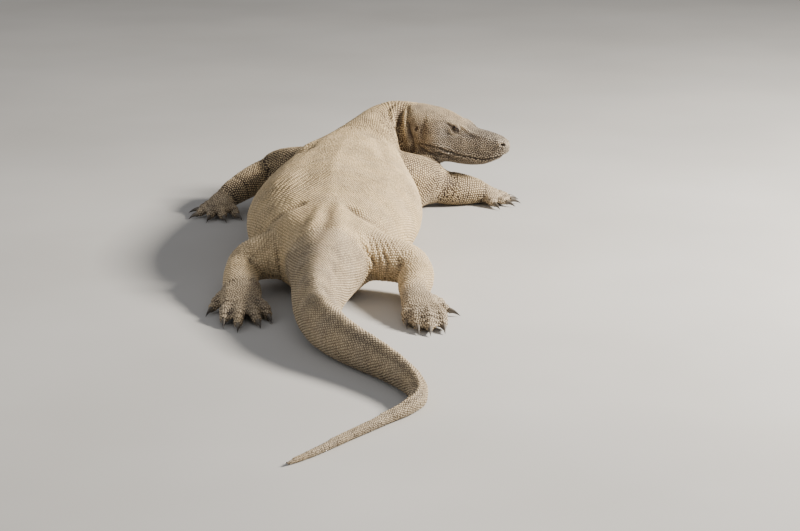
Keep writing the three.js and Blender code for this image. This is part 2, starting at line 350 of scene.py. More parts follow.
class Surface:
    """A mesh as arrays: places, normals, neighbours, and where each point lies on the animal."""

    def __init__(self, mesh: bpy.types.Mesh, atlas: "Atlas") -> None:
        """Reads the mesh.

        Args:
            mesh: The hide's mesh.
            atlas: Knows the zones.
        """
        self.mesh = mesh
        self.co = np.empty(len(mesh.vertices) * 3)
        mesh.vertices.foreach_get("co", self.co)
        self.co = self.co.reshape(-1, 3)
        edges = np.empty(len(mesh.edges) * 2, int)
        mesh.edges.foreach_get("vertices", edges)
        self.edges = edges.reshape(-1, 2)
        mesh.calc_loop_triangles()
        tris = np.empty(len(mesh.loop_triangles) * 3, int)
        mesh.loop_triangles.foreach_get("vertices", tris)
        self.tris = tris.reshape(-1, 3)
        self.degree = np.bincount(self.edges.ravel(), minlength=len(self.co)).astype(float)
        self.zone = atlas.zones_of(self.co)
        self.along = np.zeros(len(self.co))
        self.angle = np.zeros(len(self.co))
        for number, zone in enumerate(ZONES):
            mine = self.zone == number
            if mine.any() and zone is not Zone.FEET:
                self.along[mine], self.angle[mine] = atlas.axis(zone).locate(self.co[mine])
        self.body_along, self.body_angle = atlas.axis(Zone.TRUNK).locate(self.co)

    def normals(self) -> np.ndarray:
        """Works out the unit normal at each point."""
        a, b, c = (self.co[self.tris[:, k]] for k in range(3))
        face = np.cross(b - a, c - a)
        total = np.zeros_like(self.co)
        for k in range(3):
            for axis in range(3):
                total[:, axis] += np.bincount(self.tris[:, k], face[:, axis], len(self.co))
        return unit(total)

    def nearest(self, places: np.ndarray) -> np.ndarray:
        """Gives the point of the skin that lies nearest to each place."""
        return np.array([self.co[((self.co - p) ** 2).sum(1).argmin()] for p in places])

    def is_in(self, *zones: Zone) -> np.ndarray:
        """Tells which points lie in any of the zones."""
        return np.isin(self.zone, [ZONES.index(z) for z in zones])

    def spread(self, values: np.ndarray, rounds: int) -> np.ndarray:
        """Blurs one value a point over its neighbours.

        Args:
            values: One value, or one row, a point.
            rounds: How many times it is blurred.

        Returns:
            The blurred values.
        """
        out = values.astype(float).copy()
        rows = out.reshape(len(out), -1)
        for _ in range(rounds):
            total = np.zeros_like(rows)
            for k in range(rows.shape[1]):
                total[:, k] = np.bincount(self.edges[:, 0], rows[self.edges[:, 1], k], len(rows))
                total[:, k] += np.bincount(self.edges[:, 1], rows[self.edges[:, 0], k], len(rows))
            rows += 0.5 * (total / self.degree[:, None] - rows)
        return rows.reshape(values.shape)

    def pick(self, tree: BVHTree, places: np.ndarray) -> tuple[np.ndarray, ...]:
        """Finds the skin nearest to each place.

        Args:
            tree: The skin's triangles.
            places: The places, in metres.

        Returns:
            The points of the skin, its normals there, and the shares of three corners and which
            corners they are, for reading off any value that the corners have.
        """
        found = [tree.find_nearest(Vector(p)) for p in places]
        at = np.array([f[0] for f in found])
        corner = self.tris[[f[2] for f in found]]
        a, b, c = (self.co[corner[:, k]] for k in range(3))
        whole = np.cross(b - a, c - a)
        area = np.maximum((whole**2).sum(1), 1e-24)
        second = (np.cross(at - a, c - a) * whole).sum(1) / area
        third = (np.cross(b - a, at - a) * whole).sum(1) / area
        share = np.clip(np.stack([1 - second - third, second, third], 1), 0, 1)
        normal = unit((self.normals()[corner] * share[:, :, None]).sum(1))
        return at, normal, share, corner

    def smooth(self, rounds: int, share: np.ndarray) -> None:
        """Evens the surface out, in proportion to each point's share."""
        for _ in range(rounds):
            self.co += share[:, None] * (self.spread(self.co, 1) - self.co)

    def push(self, distance_mm: np.ndarray) -> None:
        """Moves each point along its normal."""
        self.co += self.normals() * (distance_mm * MM)[:, None]

    def write(self) -> None:
        """Puts the places back into the mesh."""
        self.mesh.vertices.foreach_set("co", self.co.ravel())
        self.mesh.update()


class Atlas:
    """Knows which zone every place on the skin belongs to, from the frame's own nodes."""

    def __init__(self, nodes: dict[str, bpy.types.Object]) -> None:
        """Joins the flesh nodes into one tree.

        Args:
            nodes: The frame's flesh nodes by name.
        """
        self.axes = {zone: Axis(line) for zone, line in LIMB_LINES.items()}
        self.body = Axis(BODY_LINE)
        points, polygons, self.face_zone = [], [], []
        for name, node in nodes.items():
            base = len(points)
            points += [v.co.copy() for v in node.data.vertices]
            polygons += [[base + i for i in p.vertices] for p in node.data.polygons]
            self.face_zone += [ZONES.index(zone_of_node(name))] * len(node.data.polygons)
        self.tree = BVHTree.FromPolygons(points, polygons)

    def axis(self, zone: Zone) -> Axis:
        """Gives the line that a zone's rows are set out on."""
        return self.axes.get(zone, self.body)

    def zones_of(self, points: np.ndarray) -> np.ndarray:
        """Gives the number of each point's zone."""
        faces = [self.tree.find_nearest(Vector(p))[2] for p in points]
        return np.array(self.face_zone)[faces]


# ---- Folds and swellings ----------------------------------------------------------------------


@dataclass(frozen=True)
class Stroke:
    """A crease or a ridge along a few points near the skin, in millimetres."""

    points: tuple[tuple[float, float, float], ...]
    width: float
    height: float  # negative for a crease
    on_head: bool = False  # points are s, side and up on the head, and are mirrored

    def shape(self, surface: Surface) -> np.ndarray:
        """Works out how strongly each point of the skin takes part, from 0 to 1."""
        total = np.zeros(len(surface.co))
        for mirror in ((1, -1) if self.on_head else (1,)):
            path = np.array(self.points, float) * MM
            if self.on_head:
                path = np.array([Head.place(s, mirror * side, up) for s, side, up in self.points])
            line = Line(tuple(surface.nearest(path) / MM), per_span=8).sampled()
            low, high = line.min(0) - 3 * self.width * MM, line.max(0) + 3 * self.width * MM
            near = np.where(((surface.co > low) & (surface.co < high)).all(1))[0]
            if not len(near):
                continue
            away = np.linalg.norm(surface.co[near][:, None] - line[None], axis=2)
            nearest = away.argmin(1)
            ends = np.sin(np.pi * np.clip(nearest / (len(line) - 1), 0.03, 0.97)) ** 0.5
            total[near] += ends * hill(away.min(1), self.width * MM)
        return np.minimum(total, 1.0)

    def lift(self, surface: Surface) -> np.ndarray:
        """Works out how far the stroke lifts each point of the skin, in millimetres."""
        return self.height * self.shape(surface)


@dataclass(frozen=True)
class RingFold:
    """A fold across the body or a limb, at one place along its line, over a range of angles."""

    zone: Zone
    along: float  # metres along the zone's line
    angles: tuple[float, float]  # degrees from the top, positive to the right
    width: float
    height: float
    slant: float = 0.0  # metres further back for each radian

    def lift(self, surface: Surface) -> np.ndarray:
        """Works out how far the fold lifts each point of the skin, in millimetres."""
        low, high = (math.radians(a) for a in self.angles)
        middle = 0.5 * (low + high)
        if self.zone in LIMBS:
            along, angle, mine = surface.along, surface.angle, surface.is_in(self.zone)
        else:
            along, angle = surface.body_along, surface.body_angle
            mine = surface.is_in(Zone.NECK, Zone.TRUNK, Zone.TAIL, Zone.HEAD)
        turned = (angle - middle + math.pi) % (2 * math.pi) - math.pi
        reach = 1 - smoothstep(0.6, 1.0, np.abs(turned) / (0.5 * (high - low)))
        away = along - self.along - self.slant * turned
        return mine * reach * self.height * hill(away, self.width * MM)


@dataclass(frozen=True)
class Wrinkles:
    """A field of parallel wrinkles round one place, running in one direction."""

    at: tuple[float, float, float]
    reach: float
    across: tuple[float, float, float]  # from one wrinkle to the next
    spacing: float
    height: float
    stretch: tuple[float, float, float] = (1.0, 1.0, 1.0)

    def lift(self, surface: Surface) -> np.ndarray:
        """Works out how far the wrinkles lift each point of the skin, in millimetres."""
        away = surface.co - np.array(self.at) * MM
        bend = 0.35 * ripple(surface.co, 0.12, 3, 2)
        phase = away @ unit(np.array(self.across, float)) / (self.spacing * MM) + bend
        uneven = 1 + 0.3 * ripple(surface.co, 0.05, 4, 2)
        ridge = 1.6 * np.abs(np.sin(math.pi * phase)) ** 0.7 - 1.0
        return self.mask(surface) * self.height * uneven * ridge

    def mask(self, surface: Surface) -> np.ndarray:
        """Tells how strongly each point of the skin is wrinkled, from 0 to 1."""
        away = surface.co - np.array(self.at) * MM
        return hill(np.linalg.norm(away / np.array(self.stretch), axis=1), self.reach * MM)


@dataclass(frozen=True)
class Swelling:
    """A rounded rise or hollow of the flesh round one place."""

    at: tuple[float, float, float]
    reach: float
    height: float
    on_head: bool = False
    stretch: tuple[float, float, float] = (1.0, 1.0, 1.0)  # how much further it reaches each way

    def lift(self, surface: Surface) -> np.ndarray:
        """Works out how far the swelling lifts each point of the skin, in millimetres."""
        total = np.zeros(len(surface.co))
        stretch = np.array(self.stretch)
        if self.on_head:
            s, side, up = Head.local(surface.co)
            mine = surface.is_in(Zone.HEAD, Zone.NECK)
            for mirror in (1, -1):
                away = np.stack([s, side * mirror, up], 1) - np.array(self.at)
                total += mine * hill(np.linalg.norm(away / stretch, axis=1), self.reach)
            return total * self.height
        away = surface.co / MM - np.array(self.at)
        return self.height * hill(np.linalg.norm(away / stretch, axis=1), self.reach)


BROAD_FORMS = (
    # the backbone's low ridge, on to the hips and the tail, and the shallow troughs beside it
    Stroke(((-1, 330, 212), (-3, 160, 226), (0, 0, 228), (2, -160, 226), (14, -290, 206)), 15, 3),
    Stroke(((20, -290, 204), (44, -400, 178), (44, -500, 155), (34, -600, 135), (26, -700, 112)),
           24, 8),
    Stroke(((6, -335, 199), (-10, -420, 180), (-28, -490, 150)), 16, 5),
    Stroke(((14, -350, 196), (16, -430, 174), (10, -510, 148)), 12, -4),
    Stroke(((-52, 250, 205), (-62, 60, 216), (-60, -120, 214), (-44, -280, 196)), 26, -4),
    Stroke(((50, 250, 205), (60, 60, 216), (62, -120, 214), (50, -280, 196)), 26, -4),
    # shoulder blades, and the hips
    Swelling((-92, 330, 175), 62, 9, stretch=(1, 1.3, 1)),
    Swelling((88, 318, 178), 62, 9, stretch=(1, 1.3, 1)),
    Swelling((-72, -372, 160), 34, 8, stretch=(1, 1.3, 1)),
    Swelling((104, -392, 140), 30, 7, stretch=(1, 1.2, 1)),
    # the slack between the flank and the hip, from the mid back down to the thigh
    Stroke(((48, -331, 195), (65, -343, 188), (91, -350, 171), (128, -338, 140)), 15, -10),
    Stroke(((-34, -318, 198), (-60, -322, 186), (-92, -326, 164), (-124, -322, 130)), 15, -9),
    Stroke(((62, 394, 209), (80, 300, 205), (97, 201, 200), (112, 90, 192)), 24, -7),
    Stroke(((-66, 394, 200), (-88, 290, 200), (-104, 190, 196)), 22, -6),
    Stroke(((84, 60, 206), (96, -60, 202), (102, -170, 192)), 22, -4),
    # the back of the shoulders
    Stroke(((-150, 330, 120), (-130, 270, 180), (-80, 240, 214)), 16, -5),
    Stroke(((158, 330, 100), (146, 280, 160), (112, 262, 196)), 16, -5),
    # loose skin behind the right arm, down on the floor
    Swelling((172, 420, 26), 26, 14),
    # the knees
    Swelling((216, -395, 78), 24, 6),
    Swelling((-196, -388, 76), 24, 6),
    # folds across the neck
    RingFold(Zone.NECK, 0.112, (20, 130), 11, -5, slant=0.03),
    RingFold(Zone.NECK, 0.085, (-165, -70), 9, -3),
    RingFold(Zone.NECK, 0.150, (-120, -60), 10, -3),
)
NECK_FOLDS = (
    # the deep fold behind the cheek, the one at its edge, and fainter ones further back
    Stroke(((-28, 30, 62), (-31, 48, 32), (-22, 62, -10), (-8, 69, -60), (-6, 60, -100)), 9, -18,
           True),
    Stroke(((-20, 20, 58), (-16, 35, 45), (3, 61, 3), (24, 60, -42), (22, 56, -84)), 6, -9, True),
    Stroke(((-54, 26, 62), (-60, 48, 30), (-56, 62, -6), (-50, 68, -40)), 5, -4, True),
    Stroke(((-44, 40, 44), (-38, 58, 10), (-30, 66, -24)), 4, -3, True),
    Stroke(((34, 44, 50), (42, 58, 24), (46, 62, -4), (46, 60, -30)), 8, -3.0, True),
)
NECK_RIDGES = (
    Stroke(((-20, 44, 40), (-4, 62, 2), (12, 64, -44), (12, 60, -88)), 6, 4, True),
    Stroke(((-44, 56, 10), (-36, 66, -24), (-24, 70, -64)), 7, 3.5, True),
    Stroke(((4, 42, 44), (26, 60, 6), (40, 60, -36)), 5, 2.5, True),
)
FOLD_FIELDS = (
    Wrinkles((-110, -130, 200), 70, (-0.73, 0.42, -0.55), 15.5, 3.0, (1.0, 1.7, 1.0)),
    Wrinkles((-150, -250, 120), 60, (-0.3, 1, 0.2), 14, 1.5, (0.8, 1.2, 1.2)),
    Wrinkles((-120, 300, 160), 60, (0.55, 1, 0.15), 14, 1.3),
    Wrinkles((136, -420, 104), 34, (1, 0.55, 0.05), 12, 2.4, (1.2, 0.8, 1.4)),
    Wrinkles((-128, -396, 104), 34, (1, -0.5, 0.05), 12, 2.0, (1.2, 0.8, 1.4)),
    Wrinkles((152, 300, 90), 50, (-0.2, 1, 0.2), 13, 1.0),
)
LIMB_FORMS = (
    # thigh creases beside the tail
    Stroke(((98, -441, 134), (112, -444, 104), (127, -439, 74)), 4, -6),
    Stroke(((142, -434, 112), (154, -442, 87), (152, -446, 62)), 4, -5),
    Stroke(((84, -430, 148), (92, -446, 118), (96, -446, 84)), 5, -5),
    Stroke(((-100, -398, 120), (-92, -418, 90), (-88, -428, 60)), 4, -5),
    # knees' and elbows' inner folds
    Stroke(((168, -428, 92), (184, -440, 80), (190, -444, 60)), 8, -3.5),
    Stroke(((-150, -424, 92), (-160, -436, 76), (-162, -440, 56)), 8, -3.5),
    Stroke(((-210, 440, 112), (-226, 428, 96), (-214, 420, 70)), 6, -6),
    Stroke(((238, 462, 88), (252, 478, 92), (262, 520, 92)), 5, -2.5),
    Stroke(((176, 380, 90), (180, 360, 50), (190, 372, 12)), 8, -6),
    RingFold(Zone.ARM_RIGHT, 0.330, (-180, 180), 4, -1.6),
    RingFold(Zone.ARM_RIGHT, 0.235, (-90, 150), 5, -1.8),
    RingFold(Zone.ARM_LEFT, 0.300, (-180, 180), 4, -2.0),
    RingFold(Zone.ARM_LEFT, 0.345, (-180, 180), 4, -2.4),
    RingFold(Zone.LEG_LEFT, 0.275, (-180, 180), 6, -1.2),
    RingFold(Zone.LEG_RIGHT, 0.280, (-180, 180), 6, -1.2),
)
BROW = Stroke(((102, 49, 33), (114, 48, 38), (128, 46, 39), (144, 43, 35), (162, 40, 28)),
              4.6, 3.6, True)
JAW_FOLDS = (
    # the folds from the corner of the mouth, and the slack lips of the lower jaw between them
    Stroke(((30, 60, -34), (49, 60, -46), (84, 56, -57), (118, 50, -62), (144, 42, -65)), 3.6, -6.5,
           True),
    Stroke(((75, 57, -46), (100, 53, -49), (126, 47, -53), (150, 40, -57)), 2.6, -5, True),
    Stroke(((58, 60, -42), (90, 56, -52), (124, 48, -58)), 3.4, 3.6, True),
    Stroke(((80, 57, -41), (110, 52, -45), (140, 45, -49)), 3.0, 2.6, True),
)
EYE_SHADOW = Stroke(((96, 52, 39), (110, 48, 32), (124, 45, 24), (136, 44, 14)), 7.0, -1.2, True)
LOWER_LID = Stroke(((110, 45, 22), (116, 44, 15), (126, 42, 11), (140, 42, 10)), 2.6, 1.3, True)
HEAD_FORMS = (
    # the crest over the eye, the hollow under it, and the low line on to the nostril
    BROW,
    LOWER_LID,
    Stroke(((94, 52, 38), (102, 50, 34), (110, 48, 30)), 3.2, -3.2, True),
    Stroke(((160, 40, 28), (184, 36, 22), (206, 32, 20), (228, 28, 16)), 6, 1.4, True),
    Stroke(((142, 46, 24), (160, 43, 17), (184, 38, 12)), 7, -3.0, True),
    Swelling((160, 28, 42), 16, -6.0, True, (1.5, 1, 1)),
    Swelling((172, 0, 42), 20, -3.0, True, (1.5, 1.4, 1)),
    # the cheek, and the hollow between it and the eye
    Swelling((70, 60, -2), 30, 6, True, (1.15, 1, 1.1)),
    Swelling((104, 54, 12), 12, -3.0, True, (1.0, 1, 1.2)),
    Stroke(((100, 50, 8), (112, 47, 8), (126, 45, 9), (142, 44, 14)), 3.2, -2.6, True),
    # the flesh above the corner of the mouth, and the slack throat
    Stroke(((48, 62, -24), (80, 60, -24), (112, 54, -29)), 5, 1.8, True),
    Swelling((88, 44, -80), 24, 7, True, (1.6, 1, 1)),
    Swelling((240, 23, 13), 11, 2.6, True),
)


@dataclass
class Sculpting:
    """Gives the smoothed hide its folds, lids, lips, nostrils and swellings."""

    surface: Surface
    lip_height: float = 1.8
    mouth_depth: float = 3.2
    mouth_width: float = 1.5
    pad_length: float = 0.0155  # metres from one pad of a toe to the next
    pad_height: float = 2.8
    keel_height: float = 3.4

    def broad(self) -> None:
        """Gives the body its muscles, its backbone and its hollows."""
        lift = sum(form.lift(self.surface) for form in BROAD_FORMS)
        lift += 0.8 * ripple(self.surface.co, 0.16, 11, 3) * self.surface.is_in(Zone.TRUNK, Zone.NECK)
        self._push_off_floor(lift)

    def folds(self) -> None:
        """Folds and wrinkles the skin, raises the tail's keel and rounds the toes' pads."""
        self._push_off_floor(self._keel())
        for forms in (NECK_FOLDS, NECK_RIDGES, (*FOLD_FIELDS, *LIMB_FORMS)):
            self._push_off_floor(sum(form.lift(self.surface) for form in forms))
        self._push_off_floor(self._toes())

    def _push_off_floor(self, lift: np.ndarray) -> None:
        """Moves the skin outwards, though not where it rests on the floor."""
        self.surface.push(lift * smoothstep(0.002, 0.02, self.surface.co[:, 2]))

    def _keel(self) -> np.ndarray:
        """Raises the edge along the top of the tail and hollows its flanks, in millimetres."""
        along, angle = self.surface.body_along, np.abs(self.surface.body_angle)
        edge = hill(angle, 0.20) - 0.45 * hill(angle - 0.55, 0.22)
        reach = smoothstep(1.25, 1.5, along) * (1 - 0.7 * smoothstep(1.7, 2.3, along))
        return self.surface.is_in(Zone.TAIL) * self.keel_height * reach * edge

    def _toes(self) -> np.ndarray:
        """Rounds the pads along each toe and folds the skin between them, in millimetres."""
        feet = self.surface.is_in(Zone.FEET)
        lift = -0.4 * np.abs(ripple(self.surface.co, 0.022, 5, 1))
        for toe in TOES:
            axis = Axis(Line(toe))
            low, high = axis.at.min(0) - 0.03, axis.at.max(0) + 0.03
            near = np.flatnonzero(feet & ((self.surface.co > low) & (self.surface.co < high)).all(1))
            if not len(near):
                continue
            along, _ = axis.locate(self.surface.co[near])
            away = np.linalg.norm(self.surface.co[near][:, None] - axis.at[None], axis=2).min(1)
            held = smoothstep(-0.004, 0.004, along) * (1 - smoothstep(0.016, 0.024, away))
            wave = np.abs(np.sin(math.pi * (along - axis.length) / self.pad_length))
            lift[near] += held * (self.pad_height * wave**0.6 - 1.3)
        return feet * lift

    def head(self) -> None:
        """Shapes the head: crests, cheeks, the line of the mouth and the lips."""
        lift = np.zeros(len(self.surface.co))
        for form in (*HEAD_FORMS, *JAW_FOLDS):
            lift += form.lift(self.surface)
        s, _, up = Head.local(self.surface.co)
        mine = self.surface.is_in(Zone.HEAD) * smoothstep(30, 42, s)
        over = up - Head.mouth_line(s)
        mouth = -self.mouth_depth * hill(over, self.mouth_width)
        lips = self.lip_height * (hill(over - 6.5, 4.2) + 0.8 * hill(over + 6.0, 3.6))
        lift += mine * (mouth + lips * smoothstep(60, 120, s))
        self.surface.push(lift)

    def openings(self) -> None:
        """Sinks the nostrils and the ear holes, each with a raised rim."""
        s, side, up = Head.local(self.surface.co)
        mine = self.surface.is_in(Zone.HEAD, Zone.NECK)
        for centre, half_length, half_height, depth, rim in (
            (Head.NOSTRIL, 5.2, 3.6, 5.5, 1.5), (Head.EAR_HOLE, 3.4, 7.4, 4.5, 0.8),
        ):
            out = Head.off_centre(centre, s, up, half_length, half_height)
            near = mine * (np.abs(np.abs(side) - centre[1]) < 12)
            lift = rim * hill(out - 1.45, 0.42) - depth * (1 - smoothstep(0.55, 1.15, out))
            self.surface.push(near * lift)

    def lids(self) -> None:
        """Bulges the lids over each eyeball, and opens them on it."""
        s, side, up = Head.local(self.surface.co)
        opening = Head.eye_opening(s, up)
        from_axis = Head.off_centre(Head.EYE, s, up)
        soft = 1.1
        for mirror in (1, -1):
            out = side * mirror - Head.EYE[1]
            lid = Head.EYE_RADIUS + 1.7 + 0.6 * hill(opening - 1.30, 0.22)
            ball = np.where(from_axis < lid, np.sqrt(np.maximum(lid**2 - from_axis**2, 0)), -9.0)
            bulged = soft * np.logaddexp(out / soft, ball / soft)
            within = Head.EYE_RADIUS - 1.6
            sunk = np.sqrt(np.maximum(within**2 - np.minimum(from_axis, within * 0.98)**2, 0))
            share = 1 - smoothstep(0.84, 1.10, opening)
            target = bulged + share * (np.minimum(sunk, bulged) - bulged)
            moved = np.where(out > -4, target - out, 0.0) * (from_axis < 24) * mirror
            self.surface.co += np.outer(moved * MM, np.array(Head.TURN @ Vector((0, -1, 0))))


# ---- The hide ---------------------------------------------------------------------------------


@dataclass
class Hide:
    """The one skin that replaces every solid of flesh."""

    atlas: Atlas
    nodes: dict[str, bpy.types.Object]
    voxel: float = 6.7
    swell: float = 0.7  # closes the gaps between neighbouring solids
    coat_depth: float = 0.9
    floor_clearance: float = 0.8
    obj: bpy.types.Object | None = field(default=None, init=False)

    def build(self) -> Surface:
        """Makes the skin from the flesh nodes, smooths it and folds it.

        Returns:
            The finished skin's surface.
        """
        mesh = self._fused()
        surface = Surface(mesh, self.atlas)
        thin = surface.is_in(Zone.TAIL) * smoothstep(1.9, 2.3, surface.body_along)
        kept = 0.72 * surface.is_in(Zone.HEAD) + 0.86 * surface.is_in(Zone.FEET) + 0.8 * thin
        surface.smooth(14, 1 - np.clip(surface.spread(kept, 3), 0, 0.92))
        Sculpting(surface).broad()
        surface.write()
        surface = self._refined(mesh)
        Sculpting(surface).folds()
        surface.write()
        surface = self._refined_head(mesh)
        sculpting = Sculpting(surface)
        sculpting.head()
        sculpting.openings()
        surface.push(np.full(len(surface.co), -self.coat_depth))
        sculpting.lids()
        surface.co[:, 2] = np.maximum(surface.co[:, 2], self.floor_clearance * MM)
        surface.write()
        shade_smooth(mesh)
        return surface

    def _fused(self) -> bpy.types.Mesh:
        """Joins swollen copies of the flesh nodes and remeshes them into one skin."""
        whole = bmesh.new()
        for node in self.nodes.values():
            part = bmesh.new()
            part.from_mesh(node.data)
            bmesh.ops.remove_doubles(part, verts=part.verts, dist=1e-5)
            part.normal_update()
            shifts = [v.normal * self.swell * MM for v in part.verts]
            for vertex, shift in zip(part.verts, shifts):
                vertex.co += shift
            loose = mesh_of(part, "part")
            whole.from_mesh(loose)
            bpy.data.meshes.remove(loose)
        self.obj = place_in_scene("hide", mesh_of(whole, "hide"))
        remesh = self.obj.modifiers.new("Fuse", "REMESH")
        remesh.mode = "VOXEL"
        remesh.voxel_size = self.voxel * MM
        fused = bpy.data.meshes.new_from_object(
            self.obj.evaluated_get(bpy.context.evaluated_depsgraph_get()))
        self.obj.modifiers.clear()
        self.obj.data = fused
        fused.name = "hide"
        return fused

    def _refined(self, mesh: bpy.types.Mesh) -> Surface:
        """Gives the head, the feet, the tail's keel and all that is wrinkled a finer mesh.

        Args:
            mesh: The fused skin.

        Returns:
            The finer surface, lightly smoothed.
        """
        surface = Surface(mesh, self.atlas)
        s, _, _ = Head.local(surface.co)
        folded = surface.is_in(Zone.HEAD, Zone.NECK) & (s > -70)
        for field_ in FOLD_FIELDS:
            folded |= field_.mask(surface) > 0.22
        keel = surface.is_in(Zone.TAIL) & (np.abs(surface.body_angle) < 0.6)
        keel &= (surface.body_along > 1.3) & (surface.body_along < 2.2)
        self._split(mesh, folded | keel | surface.is_in(Zone.FEET))
        surface = Surface(mesh, self.atlas)
        surface.smooth(2, surface.spread(surface.is_in(Zone.HEAD, Zone.NECK, Zone.FEET), 2))
        return surface

    def _refined_head(self, mesh: bpy.types.Mesh) -> Surface:
        """Gives the eyes, the nostrils and the lips a finer mesh yet."""
        for reach in (21, 13):
            surface = Surface(mesh, self.atlas)
            s, side, up = Head.local(surface.co)
            chosen = (Head.off_centre(Head.EYE, s, up) < reach) & (np.abs(side) > 28)
            if reach > 20:
                chosen |= Head.off_centre(Head.NOSTRIL, s, up) < 10
                chosen |= (np.abs(up - Head.mouth_line(s)) < 6) & (s > 36)
            self._split(mesh, surface.is_in(Zone.HEAD) & chosen)
        surface = Surface(mesh, self.atlas)
        surface.smooth(1, surface.spread(surface.is_in(Zone.HEAD), 2))
        return surface

    @staticmethod
    def _split(mesh: bpy.types.Mesh, chosen: np.ndarray) -> None:
        """Halves every edge whose two ends are chosen."""
        bm = bmesh.new()
        bm.from_mesh(mesh)
        bm.verts.ensure_lookup_table()
        edges = [e for e in bm.edges if chosen[e.verts[0].index] and chosen[e.verts[1].index]]
        bmesh.ops.subdivide_edges(bm, edges=edges, cuts=1, use_grid_fill=True)
        rough = [f for f in bm.faces if len(f.verts) > 4]
        bmesh.ops.triangulate(bm, faces=rough)
        bm.to_mesh(mesh)
        bm.free()

    def dress(self, finish: "HideFinish", tones: "Tones") -> None:
        """Gives the skin its tones and its finish, and lets it stand for the flesh nodes."""
        for name in Tones.NAMES:
            put_attribute(self.obj.data, name, getattr(tones, name))
        self.obj.data.materials.clear()
        self.obj.data.materials.append(finish.material())
        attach(self.obj, ROOT)
        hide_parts(*self.nodes)


# ---- Tones ------------------------------------------------------------------------------------


@dataclass(frozen=True)
class Mark:
    """A darker or paler patch of the skin round one place."""

    at: tuple[float, float, float]
    reach: float
    depth: float  # negative for a darker patch
    stretch: tuple[float, float, float] = (1.0, 1.0, 1.0)
    on_head: bool = False

    def shade(self, surface: Surface) -> np.ndarray:
        """Works out how much paler the mark makes each point."""
        blot = Swelling(self.at, self.reach, self.depth, self.on_head, self.stretch)
        return blot.lift(surface)


BACK_MARKS = (
    Mark((29, -346, 200), 17, -0.22, (0.6, 1.5, 1)),
    Mark((36, -448, 178), 17, -0.24, (0.6, 1.6, 1)),
    Mark((46, -545, 144), 18, -0.22, (0.6, 1.6, 1)),
    Mark((80, -418, 165), 14, -0.18, (0.7, 1.5, 1)),
    Mark((30, -225, 214), 20, -0.10, (0.6, 1.5, 1)),
    Mark((-40, 20, 220), 34, -0.07, (0.7, 1.5, 1)),
    Mark((-60, 300, 205), 40, -0.07),
)
# Darker and paler patches of the head. The dark ones are painted shade, in the hollow before the eye
# and round the ear hole; the pale ones are partly the paler scales of the lips and partly painted
# highlight on the cheek, the snout and the nostril's rim.
HEAD_MARKS = (
    Mark((164, 40, 15), 10, -0.45, (1.7, 1, 0.6), True),
    Mark((192, 38, -22), 20, 0.16, (1.7, 1, 1.0), True),
    Mark((190, 38, -50), 8, 0.24, (3.4, 1, 0.8), True),
    Mark((72, 61, -4), 15, 0.24, (0.9, 1, 1.0), True),
    Mark((110, 55, -20), 11, 0.20, (2.4, 1, 0.7), True),
    Mark((244, 24, 10), 10, 0.24, on_head=True),
    Mark((112, 48, -52), 8, 0.16, (2.4, 1, 0.7), True),
    Mark((26, 62, 6), 6, -0.12, (0.8, 1, 1.5), True),
)


